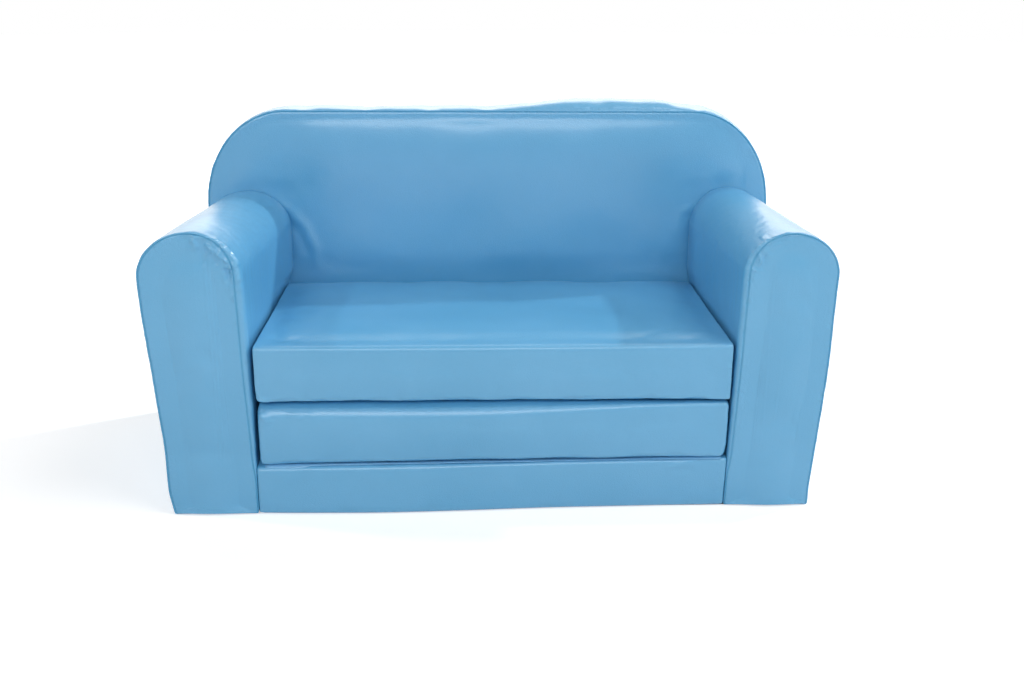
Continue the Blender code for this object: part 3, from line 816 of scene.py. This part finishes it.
backCreases = (   # beside the arms
    ((-.292, .318), (-.2725, .304), (-.2545, .284), (-.242, .2535), (-.236, .2135), .0065, .0019),
    ((-.272, .292), (-.258, .270), (-.250, .240), .0075, -.0010),
    ((.2625, .299), (.279, .311), .0040, .0018), ((.268, .291), (.281, .299), .0045, -.0011),
    ((.262, .298), (.262, .270), .0060, .0006),
    ((.306, .338), (.330, .346), (.352, .348), .0120, -.0020),
)
backRings = edgeRings((.024, .017, .011, .007, .004, .002), frontGroove, (78, 52, 26))


def backColumn(across, inset):
    width, drop = back["cornerWidth"] - inset, back["cornerHeight"] - inset
    straight = back["half"] - back["cornerWidth"]
    top = back["height"] - inset
    flatShare = 1 - back["cornerShare"]
    into = (abs(across) - flatShare) / back["cornerShare"]
    if into <= 0:
        return straight * across / flatShare, top
    angle = into * math.pi / 2
    x = math.copysign(straight + width * math.sin(angle), across)
    return x, top - drop * (1 - math.cos(angle))


def backPoint(across, height, y, inset):
    # rows are closer together in the low band that holds the zip
    x, top = backColumn(across, inset)
    share, (lowShare, lowZ) = (height + 1) / 2, back["lowBand"]
    foot = footZ + max(0, inset) * sofa["footInset"]
    z = mix(foot, lowZ, share / lowShare) if share < lowShare else mix(
        lowZ, top, (share - lowShare) / (1 - lowShare))
    return Vector((x, y, z))


def boxingSwell(x, behind):
    # how far the boxing stands off the straight line between its two seams
    share = behind / sofa["backThickness"]
    side = 1 if x > 0 else -1
    onTop = 1 - ease(*boxing["flatTo"], abs(x))
    bump = ease(*boxing["bumpRise"], x) * (1 - ease(*boxing["bumpFall"], x))
    early = (1 - math.exp(-behind / boxing["bumpRun"])) * (1 - share ** 3)
    swell = early * boxing["bump"] * bump * onTop
    swell += fullness(2 * share ** 1.25 - 1) * (
        mix(*boxing["belly"], bump) * onTop + boxing["sideBelly"][side] * (1 - onTop))
    swell += share * (mix(*boxing["rear"], bump) * onTop + boxing["sideRear"][side] * (1 - onTop))
    pinch = max(math.exp(-((x - place) / boxing["pinchWidth"]) ** 2)
                for place in boxing["pinches"])
    uneven = 1 + .5 * ripple((x, 0, 0), .05, 2.2)
    near = ease(0, .007, behind) * math.exp(-behind / boxing["puffRun"])
    near *= 1 - ease(.30, .36, abs(x))
    return swell + boxing["puffHeight"] * uneven * (1 - 1.3 * pinch) * near


def swellAt(across, height, x, top, behind):
    # the boxing's swell, let out towards the arms and the floor
    if abs(across) > .999:
        reach = ease(.03, .12, backPoint(across, height, 0, 0).z)
    else:
        reach = ease(.30, .37, top) * ease(-1, -.5, height)
    return boxingSwell(x, behind) * reach


def backFront(x, z, top):
    # how far the front stands out of its seam plane
    crown = back["frontCrown"] * fullness(x / seatHalf, shareOf(z, seatZ, top))
    below = top - z
    fall = 1 - math.exp(-max(0, below - back["rollFrom"]) / back["rollFall"])
    roll = back["roll"] * fall * ease(.009, .018, below) * (1 - ease(.045, .17, below))
    return crown + roll * fullness(x / .36) ** .7 * (1 + .22 * ripple((x, 0, 0), .06, 8.3))


def zipChannel(shape, half, x, z):
    # how deep the rear is drawn in along its zip
    channel = shape["zipDepth"] * (1 - ease(*shape["zipChannel"], abs(z - shape["zipZ"])))
    return channel * (1 - ease(half + .002, half + .012, abs(x)))


def buildBack():
    edge = len(backRings)
    ringCount = 2 * edge + back["boxingRows"]
    depth = sofa["backThickness"]

    def place(across, along, height):
        number = round((along + 1) / 2 * ringCount)
        radius = back["edgeRadius"]
        x, top = backColumn(across, 0)
        run = across if height > .999 else (1 + (1 - height)) * (1 if across > 0 else -1)
        if number < edge or number > ringCount - edge:
            front = number < edge
            ring = backRings[number] if front else backRings[ringCount - number]
            inset, behind, gap = ringPlace(ring, radius)
            if not front:
                inset -= swellAt(across, height, x, top, depth)
            point = backPoint(across, height, 0, inset)
            near, far = back["behindArms"]
            behindArms = 1 - ease(seatHalf + near, seatHalf + far, abs(point.x))
            aboveArms = ease(*back["aboveArms"], point.z)
            flat = ring[1] == 90
            if front:
                out = backFront(point.x, point.z, top) * ease(0, .012, gap) if flat else 0
                out *= max(behindArms * ease(seatZ - .01, seatZ + .02, point.z), aboveArms)
                point.y = backY + behind - out
            else:
                zipTop = back["zipZ"] + .024
                out = back["rearCrown"] * fullness(x / back["half"], shareOf(point.z, zipTop, top))
                out = out * ease(0, .014, gap) if flat else 0
                point.y = backRearY - behind + out - zipChannel(
                    back, back["zipHalf"], point.x, point.z)
            inside = ease(.05, .75, fullness(x / back["half"], height))
            room = 0
            if number == 0:
                room = back["frontRoom"] * max(
                    behindArms * ease(seatZ + .01, seatZ + .04, point.z), aboveArms)
            if number == ringCount:
                room = back["rearRoom"] * ease(.07, .10, point.z)
            return point, gap, room * inside, run
        behind = mix(radius, depth - radius, (number - edge) / (ringCount - 2 * edge))
        swell = swellAt(across, height, x, top, behind)
        gap = min(behind, depth - behind)
        room = back["boxingRoom"] * ease(.01, .03, gap) if height > -.999 else 0
        return backPoint(across, height, backY + behind, -swell), gap, room, run

    def rise(point, gap, run):
        lifted = gathers(point.x * 2 + point.z, gap, 2.1, .00030, .007) * ease(0, .0016, gap)
        if point.y < backY + .004:
            lifted += ridgeHeight(backCreases, point.x, point.z) * ease(seatZ, seatZ + .02, point.z)
        return lifted * ease(.075, .09, point.z)

    piece = padShell("backCover", (back["columns"], ringCount, back["rows"]), place)
    undulate(piece, back["waves"], back["seed"])
    puff(piece, puffing)
    refine(piece, rise)
    finishPad(piece, "carcase", "back_foam", "back_front_panel", "back_rear_panel", "back_boxing")


buildBack()


# blocks: the base and the two mattress panels share one way of rounding


def roundSection(depth, height, size, radii):
    # a point of a rectangle, (depth, height) in shares, with its own radius at each corner;
    # radii is keyed by (rear, top)
    half = (size[0] / 2, size[1] / 2)
    flat = (depth * half[0], height * half[1])
    radius = radii[depth > 0, height > 0]
    rest = [max(radius - h, min(h - radius, value)) for h, value in zip(half, flat)]
    over = [value - kept for value, kept in zip(flat, rest)]
    reach = math.hypot(*over)
    shrink = max(map(abs, over)) / reach if reach else 1
    return [kept + gone * shrink for kept, gone in zip(rest, over)]


base = {
    "columns": 60, "rows": 12, "depthRows": 30, "frontTop": .0040, "edge": .0010,
    "crown": .0025, "footBelly": .0052, "footBellyRight": .35,   # the share left at the right
    "topDrop": (.0058, .0000),   # how far the front's top edge is rubbed down, left and right
    "ends": (.0, .0006, .0022, .0055), "seam": (.0011, .0009),   # the seam with an arm
    "waves": ((.070, .0007), (.030, .0003)), "seed": 31, "room": .0010,
}
baseCreases = (
    ((-.262, .040), (-.235, .050), .0040, .0006), ((.205, .050), (.240, .058), .0030, .0010),
    ((.216, .046), (.244, .049), .0040, -.0008), ((-.150, .030), (-.120, .045), .0080, .0005),
)


def buildBase():
    ends = base["ends"]
    size = (armEndY - seamY, sofa["baseTop"] - footZ)
    middle = ((armEndY + seamY) / 2, (sofa["baseTop"] + footZ) / 2)
    ringCount = 2 * len(ends) + base["columns"]
    radii = {(rear, top): base["edge"] for rear in (False, True) for top in (False, True)}
    radii[False, True] = base["frontTop"]

    def place(across, depth, height):
        number = round((across + 1) / 2 * ringCount)
        fromEnd = min(number, ringCount - number)
        side = 1 if across > 0 else -1
        y, z = roundSection(crowd(depth, .6), crowd(height, .3), size, radii)
        y, z = y + middle[0], z + middle[1]
        wide = armInnerX(side, y, z) - .0003
        inset = ends[fromEnd] if fromEnd < len(ends) else mix(
            ends[-1], wide, (fromEnd - len(ends) + 1) / (base["columns"] / 2 + 1))
        x = side * max(0, wide - inset)
        drawn = base["seam"][fromEnd] if fromEnd < len(base["seam"]) else 0
        front = max(0, -depth) ** 3
        foot = 1 - ease(.003, .045, z)
        belly = base["footBelly"] * fullness(x / wide) ** .6
        belly *= mix(1, base["footBellyRight"], ease(-.05, .25, x))
        out = mix(base["crown"] * fullness(x / wide, height), belly, foot)
        y += (drawn - out) * front
        drop = mix(*base["topDrop"], (x / seatHalf + 1) / 2)
        drop *= ease(.6, 1, -depth) * ease(.030, .0625, z)
        z -= drop + toFloor(z) * front
        y -= footReach(x, y, z)
        room = base["room"] * front * ease(.006, .03, inset) * ease(.004, .015, z)
        return Vector((x, y, z)), inset if depth < -.9 else 1, room, z

    def rise(point, gap, run):
        onFront = 1 - ease(.004, .012, point.y - seamY)
        return onFront * (ridgeHeight(baseCreases, point.x, point.z) + gathers(
            run, gap, point.x, .00025, .006) * ease(0, .001, gap))

    piece = padShell("baseCover", (ringCount, base["depthRows"], base["rows"]), place)
    undulate(piece, base["waves"], base["seed"])
    refine(piece, rise)
    finishPad(piece, "carcase", "base_foam", "base_front_panel", "base_top_panel")


buildBase()

panelShape = {
    "columns": 66, "depthRows": 46, "rows": 26, "waves": ((.110, .0009), (.045, .0004)),
    "frontFull": .0016,   # how much wider the front stands than the rear
    "topRoom": .0030, "frontRoom": .0012, "zipHalf": .220, "gather": .00022,
}
zipDetails = {"zipDepth": .0014, "zipChannel": (.012, .0160)}
lowerPanel = zipDetails | {
    "name": "lowerPanelCover", "body": "lower_panel", "lowZ": lowerZ,
    "frontTop": (.0190, .0055), "frontBottom": .0045, "rear": .0060, "topCrown": .0002,
    "cornerTop": .0050, "cornerBottom": (.0050, .0085), "seed": 41,
    "frontDrop": (.0062, .0017),   # how far the bottom edge hangs at the left and right
    "creases": (((-.276, .126), (-.266, .112), .0035, .0020),
                ((-.243, .128), (-.236, .118), .0020, .0013),
                ((-.233, .127), (-.226, .117), .0020, .0011),
                ((-.222, .127), (-.214, .119), .0022, .0010)),
    "zipZ": .0970, "rearDroop": 0, "edgeHeld": .25,
}
upperPanel = zipDetails | {
    "name": "upperPanelCover", "body": "upper_panel", "lowZ": upperZ,
    "frontTop": (.0050, .0050), "frontBottom": .0030, "rear": .0085, "topCrown": .0040,
    "cornerTop": .0016, "cornerBottom": (.0050, .0020), "seed": 47, "frontDrop": (-.0018, -.0006),
    "creases": (((-.276, .1435), (-.264, .1405), .0018, .0014),),
    "zipZ": .1875, "rearDroop": .0015,   # how far the seat's rear edge hangs
    "edgeHeld": 0,
}
panelEndRings = edgeRings((.010, .0045, .0014), frontGroove, (75, 50, 25, 0))


def buildPanel(panel):
    low = panel["lowZ"]
    high = low + sofa["panelHeight"]
    size = (sofa["seatDepth"], sofa["panelHeight"])
    middle = ((seamY + panelRearY) / 2, (low + high) / 2)
    edge = len(panelEndRings)
    ringCount = 2 * edge + panelShape["columns"]

    def place(across, depth, height):
        number = round((across + 1) / 2 * ringCount)
        fromEnd = min(number, ringCount - number)
        front, bottom = ease(.5, 1, -depth), ease(.2, 1, -height)
        lowCorner = panel["cornerBottom"][across > 0]
        corner = mix(panel["cornerTop"], lowCorner, bottom * front)
        if fromEnd < edge:
            inset, behind, gap = ringPlace(panelEndRings[fromEnd], corner)
        else:
            run = (fromEnd - edge) / (panelShape["columns"] / 2)
            inset, behind = 0, mix(corner + .002, seatHalf, run)
            gap = corner * math.pi / 2 + behind
        x = math.copysign(max(0, seatHalf - .0006 - behind), across)
        side = ease(-seatHalf * .2, seatHalf * .9, x)
        radii = {(False, True): mix(*panel["frontTop"], side), (False, False): panel["frontBottom"],
                 (True, True): panel["rear"], (True, False): panel["rear"]}
        y, z = roundSection(crowd(depth, .62), crowd(height, .55), size, radii)
        y *= 1 - 2 * inset / size[0]
        z *= 1 - 2 * inset / size[1]
        y, z = y + middle[0], z + middle[1]
        shareX, shareY = x / seatHalf, shareOf(y, seamY, panelRearY)
        shareZ = shareOf(z, low, high)
        x += shareX * panelShape["frontFull"] * max(0, -shareY)
        z += panel["topCrown"] * fullness(shareX, shareY) * max(0, shareZ)
        z -= panel["rearDroop"] * ease(.78, 1, shareY) * max(0, shareZ) * (
            1 + .4 * ripple((x, 0, 0), .11, 6.4))
        drop = mix(*panel["frontDrop"], (shareX + 1) / 2)
        z -= drop * ease(.75, 1, -shareY) * max(0, -shareZ)
        y -= sofa["frontCrown"] * fullness(shareX, shareZ) * max(0, -shareY)
        y -= zipChannel(panel, panelShape["zipHalf"], x, z) * ease(.985, 1, shareY)
        fromEdge = min(max(y - seamY, high - z), 1)   # the crisp front edge keeps its line
        isTop = ease(.6, .95, shareZ) * panel["topCrown"] / upperPanel["topCrown"]
        isFront = ease(.6, .98, -shareY)
        room = max(isTop * panelShape["topRoom"], isFront * panelShape["frontRoom"])
        room *= ease(.012, .035, gap)
        room *= mix(ease(.012, .045, fromEdge), 1, panel["edgeHeld"])
        return Vector((x, y, z)), min(gap, 1), room if fromEnd >= edge else 0, y + z

    def rise(point, gap, run):
        onFront = 1 - ease(.010, .030, point.y - seamY)
        return onFront * ridgeHeight(panel["creases"], point.x, point.z) + gathers(
            run, gap, point.x, panelShape["gather"], .006) * ease(0, .0016, gap)

    piece = padShell(panel["name"], (ringCount, panelShape["depthRows"], panelShape["rows"]), place)
    undulate(piece, panelShape["waves"], panel["seed"])
    puff(piece, puffing)
    refine(piece, rise)
    finishPad(piece, panel["body"],
              *[f"{panel['body']}_{part}" for part in ("foam", "sleeve", "left_end", "right_end")])


buildPanel(lowerPanel)
buildPanel(upperPanel)


# fabric hinges: strips of the same vinyl, sewn along the edges that stay together

hinge = {
    "half": .274, "thickness": .0009, "tail": .0075, "bulge": .0014, "columns": 110, "turns": 26,
    "loop": (-.280, -.221, .0046),    # a slack loop at the left: from, to, and how deep it hangs
    "slack": .0003, "rightSlack": .0012, "sewnIn": .0028, "fold": .0034, "frontReach": .0014,
    "rearReach": .013, "rearRise": .0011, "rearPuff": .0008, "rearBend": .0035,
}


def foldPoint(share, half, forward):
    # a hairpin from a lower tail round the front to an upper tail; share runs from -1 to 1
    if abs(share) > .5:
        tail = (abs(share) - .5) * 2 * hinge["tail"]
        return tail, math.copysign(half, share)
    angle = share * math.pi
    return -forward * math.cos(angle), half * math.sin(angle)


def stripShell(name, path):
    # path(x share, share along the fold) gives (y, z); the strip is given its thickness
    def place(across, depth, height):
        step = .004
        low, high = path(across, max(-1, depth - step)), path(across, min(1, depth + step))
        run = Vector((high[0] - low[0], high[1] - low[1])).normalized()
        y, z = path(across, depth)
        away = height * hinge["thickness"] / 2
        skin = Vector((across * hinge["half"], y - run.y * away, z + run.x * away))
        return skin, (1 - abs(depth)) * .01, 0, across

    piece = padShell(name, (hinge["columns"], hinge["turns"], 1), place)
    piece.data.materials.append(hingeVinyl)
    return piece


def buildFrontStrip():
    leftEnd, rightEnd, deep = hinge["loop"]

    def edges(x):
        share = (x / seatHalf + 1) / 2
        under = sofa["baseTop"] - mix(*base["topDrop"], share)
        over = lowerZ - mix(*lowerPanel["frontDrop"], share)
        return under, over

    def path(across, share):
        x = across * hinge["half"]
        under, over = edges(x)
        loop = deep * max(0, fullness(shareOf(x, leftEnd, rightEnd))) ** .7
        loop += hinge["slack"] * (1 + ripple((x, 0, 0), .03, 4.2))
        loop += hinge["rightSlack"] * ease(.19, .23, x)
        half = (over - under) / 2 - hinge["thickness"] * .6
        y, z = foldPoint(share, half, hinge["bulge"] + loop * .5)
        sag = loop * (1 - abs(share) * 2) if abs(share) < .5 else 0
        return seamY + hinge["sewnIn"] + y, (over + under) / 2 + z - sag * .8

    piece = stripShell("frontHingeStrip", path)
    low, high = [sum(edges(side * hinge["half"])) / 2 for side in (-1, 1)]
    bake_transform(piece)
    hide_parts("front_hinge_strip")


stripMiddleZ = (lowerZ + sofa["panelHeight"] + upperZ) / 2


def buildRearStrip():
    def path(across, share):
        puffed = hinge["rearPuff"] * fullness(share) * (1 + .5 * ripple((across, 0, 0), .12, 9.1))
        return panelRearY + hinge["rearRise"] + puffed, stripMiddleZ + share * hinge["rearReach"]

    piece = stripShell("rearHingeStrip", lambda across, share: path(across, -share))
    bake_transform(piece)
    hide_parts("rear_hinge_strip")


buildFrontStrip()
buildRearStrip()
print("hinge strips sewn in")


# zips and stitching

zipShape = {
    "tapeHalf": .011, "tapeThickness": .0010, "toothReach": .0021, "toothThick": .00050,
    "pitch": .0016, "stitch": .0034, "stitchPitch": .0046, "threadRadius": .00032,
    "lipFrom": .0060, "lipTo": .0136, "lipThickness": .0009, "stitchRow": .0090,
    "endStop": .0030, "stopReach": .0026, "stopRadius": .0009,
    "stripStitchHalf": .268, "stripStitchRow": .0095,
}


def arrayed(piece, count, step):
    rows = piece.modifiers.new("repeat", "ARRAY")
    rows.count = count
    rows.use_relative_offset = False
    rows.use_constant_offset = True
    rows.constant_offset_displace = (step, 0, 0)


def rodMesh(name, rods, sides=6):
    # short rounded rods, each (centre, half length vector, radius)
    bm = bmesh.new()
    for centre, reach, radius in rods:
        made = bmesh.ops.create_uvsphere(bm, u_segments=sides, v_segments=5, radius=radius)["verts"]
        axis = Vector(reach)
        turn = axis.to_track_quat("Z", "Y")
        for vert in made:
            stretch = math.copysign(max(0, axis.length - radius), vert.co.z) if abs(
                vert.co.z) > radius * .2 else 0
            vert.co = turn @ Vector((vert.co.x, vert.co.y, vert.co.z + stretch)) + Vector(centre)
    return pieceFrom(bm, name)


def stitchRow(name, body, halfLength, y, z):
    pitch, stitch = zipShape["stitchPitch"], zipShape["stitch"]
    count = int(2 * halfLength / pitch)
    row = rodMesh(name, [((-(count - 1) * pitch / 2, y, z), (stitch / 2, 0, .0001),
                          zipShape["threadRadius"])])
    arrayed(row, count, pitch)
    attach(row, body, thread)


def flatStrip(name, body, half, y, z, reach, thickness, material, grooved=False):
    # a long flat strip on the rear, with rounded long edges; y is its outer face
    def place(across, depth, height):
        rounding = thickness * .45 * abs(height) ** 8
        out = y - thickness * (1 - depth) / 2 - rounding * max(0, depth)
        if grooved:
            out -= thickness * .5 * (1 - ease(.04, .12, abs(height))) * max(0, depth)
        wavy = .0002 * ripple((across * half, 0, z), .03)
        return Vector((across * half, out, z + height * reach + wavy)), 1, 0, across

    strip = padShell(name, (60, 2, 14), place)
    attach(strip, body, material)
    return strip


def buildZip(name, node, body, halfLength, y, z):
    tape = flatStrip(f"{name}Tape", body, halfLength, y - .0001, z, zipShape["tapeHalf"],
                     zipShape["tapeThickness"], tapeWeave, grooved=True)
    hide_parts(node)
    chainHalf = halfLength - zipShape["endStop"]
    pitch, reach = zipShape["pitch"], zipShape["toothReach"]
    pairs = int(chainHalf / pitch)
    start = -(pairs - .5) * pitch
    coil = rodMesh(f"{name}Coil", [
        ((start + shift * pitch, y + .0001, z + side * .0004), (0, side * .0001, reach * .78),
         zipShape["toothThick"]) for side, shift in ((1, 0), (-1, .5))])
    arrayed(coil, 2 * pairs, pitch)
    attach(coil, body, nylon)
    middle = (zipShape["lipFrom"] + zipShape["lipTo"]) / 2
    reach = (zipShape["lipTo"] - zipShape["lipFrom"]) / 2
    lipY = y + zipShape["lipThickness"] * .9
    for side, word in ((1, "Upper"), (-1, "Lower")):
        flatStrip(f"{name}{word}Lip", body, halfLength + .002, lipY, z + side * middle, reach,
                  zipShape["lipThickness"], coverVinyl)
        stitchRow(f"{name}{word}Stitches", body, halfLength, lipY, z + side * zipShape["stitchRow"])
    ends = rodMesh(f"{name}Stops", [
        ((side * (chainHalf + .0012), y + .0002, z), (0, 0, zipShape["stopReach"]),
         zipShape["stopRadius"]) for side in (-1, 1)], sides=8)
    attach(ends, body, zipMetal)


buildZip("backZip", "back_zip", "carcase", back["zipHalf"], backRearY, back["zipZ"])
for name, panel in (("lowerZip", lowerPanel), ("upperZip", upperPanel)):
    buildZip(name, f"{panel['body']}_zip", panel["body"], panelShape["zipHalf"], panelRearY,
             panel["zipZ"])
for name in ("back", "lower_panel", "upper_panel"):
    for slot in bpy.data.objects[f"{name}_zip_slider"].material_slots:
        slot.material = zipMetal
for word, side in (("Lower", -1), ("Upper", 1)):
    stitchRow(f"rearStrip{word}Stitches", f"{word.lower()}_panel", zipShape["stripStitchHalf"],
              panelRearY + .0017, stripMiddleZ + side * zipShape["stripStitchRow"])
print("zips closed")


# cloth underneath

underCloth = {"half": .3799, "inset": .002, "thickness": .0010}


def buildUnderCloth():
    half, inset = underCloth["half"], underCloth["inset"]
    low, high = seamY + inset, backRearY - inset

    def place(across, depth, height):
        edge = min(half * (1 - abs(across)), (high - low) / 2 * (1 - abs(depth)))
        return Vector((across * half, mix(low, high, (depth + 1) / 2),
                       underCloth["thickness"] * (height + 1) / 2)), edge, 0, across

    piece = padShell("underCloth", (60, 30, 1), place)
    attach(piece, "carcase", underFabric)
    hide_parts("underside_cloth")


buildUnderCloth()
print("underside covered")


# light and stage

light = {
    "suns": {   # name: direction it comes from, strength, how soft its shadow is
        "rightSun": ((.741, .353, .570), 1.34, math.radians(2.5)),
        "leftSun": ((-.67, .17, .70), .50, math.radians(3)),
    },
    "boxes": {  # name: place, size, power
        "frontBox": ((-.4, -2.7, 1.9), (2.6, 1.0), 34.5),
        "leftBox": ((-1.7, -2.2, 1.5), (1.4, 1.2), 9),
        "rightBox": ((1.3, -.8, 2.4), (1.4, 1.2), 22),
        "sideBox": ((2.0, -.9, .8), (1.0, .8), 6),
        "rearBox": ((-.1, 2.2, 1.6), (4.4, 1.8), 26),
    },
    "skyStrength": .06,
}


def aimAt(thing, place, target=(0, 0, .2)):
    thing.location = place
    thing.rotation_mode = "QUATERNION"
    thing.rotation_quaternion = (Vector(target) - Vector(place)).to_track_quat("-Z", "Y")


def addSoftbox(name, place, size, power):
    lamp = bpy.data.lights.new(name, "AREA")
    lamp.shape = "RECTANGLE"
    lamp.size, lamp.size_y = size
    lamp.energy = power
    box = bpy.data.objects.new(name, lamp)
    scene.collection.objects.link(box)
    aimAt(box, place)
    box.visible_camera = False


def seenDirectly(tree):  # 1 for the rays that show the background: camera, gloss and glass
    ray = tree.nodes.new("ShaderNodeLightPath")
    seen = mathNode(tree, "MAXIMUM", ray.outputs["Is Camera Ray"], ray.outputs["Is Glossy Ray"])
    return mathNode(tree, "MAXIMUM", seen, ray.outputs["Is Transmission Ray"])


def addLight():
    for name, (source, strength, angle) in light["suns"].items():
        sun = bpy.data.objects.new(name, bpy.data.lights.new(name, "SUN"))
        sun.data.energy = strength
        sun.data.angle = angle
        scene.collection.objects.link(sun)
        aimAt(sun, Vector(source) * 3, (0, 0, 0))
    for name, (place, size, power) in light["boxes"].items():
        addSoftbox(name, place, size, power)
    world = bpy.data.worlds.new("paleStudio")
    scene.world = world
    world.use_nodes = True
    tree = world.node_tree
    sky = tree.nodes["Background"]
    sky.inputs["Color"].default_value = (1, 1, 1, 1)
    join(tree, mathNode(tree, "MULTIPLY_ADD", seenDirectly(tree), 1 - light["skyStrength"],
                        light["skyStrength"]), sky.inputs["Strength"])


stage = {
    "radius": 9, "sink": -.0004, "colour": (.84, .84, .84, 1), "tintSize": 1.5, "tint": .004,
    "roughness": .9, "gloss": .1,
    # a glow that only the background's rays see keeps the backdrop white away from the shadow
    "glow": {"From Min": .55, "From Max": 2.2, "To Min": .42, "To Max": .75},
}


def addFloor():
    bm = bmesh.new()
    bmesh.ops.create_circle(bm, cap_ends=True, segments=96, radius=stage["radius"])
    floor = pieceFrom(bm, "floor", smooth=False)
    floor.location.z = stage["sink"]
    material, tree, shader = newMaterial("paleFloor")
    place = objectPlace(tree)
    tinted = useGroup(tree, "tint", color=stage["colour"], vector=place, size=stage["tintSize"],
                      amount=stage["tint"])
    join(tree, tinted, shader.inputs["Base Color"])
    shader.inputs["Roughness"].default_value = stage["roughness"]
    shader.inputs["Specular IOR Level"].default_value = stage["gloss"]
    glow = tree.nodes.new("ShaderNodeEmission")
    glow.inputs["Color"].default_value = (1, 1, 1, 1)
    away = tree.nodes.new("ShaderNodeVectorMath")
    away.operation = "LENGTH"
    join(tree, place, away.inputs[0])
    far = tree.nodes.new("ShaderNodeMapRange")
    join(tree, away.outputs["Value"], far.inputs["Value"])
    for label, value in stage["glow"].items():
        far.inputs[label].default_value = value
    join(tree, mathNode(tree, "MULTIPLY", seenDirectly(tree), far.outputs[0]),
         glow.inputs["Strength"])
    added = tree.nodes.new("ShaderNodeAddShader")
    join(tree, shader.outputs["BSDF"], added.inputs[0])
    join(tree, glow.outputs["Emission"], added.inputs[1])
    join(tree, added.outputs["Shader"], tree.nodes["Material Output"].inputs["Surface"])
    floor.data.materials.append(material)


addLight()
addFloor()
scene.view_settings.view_transform = "Standard"
print("lit")
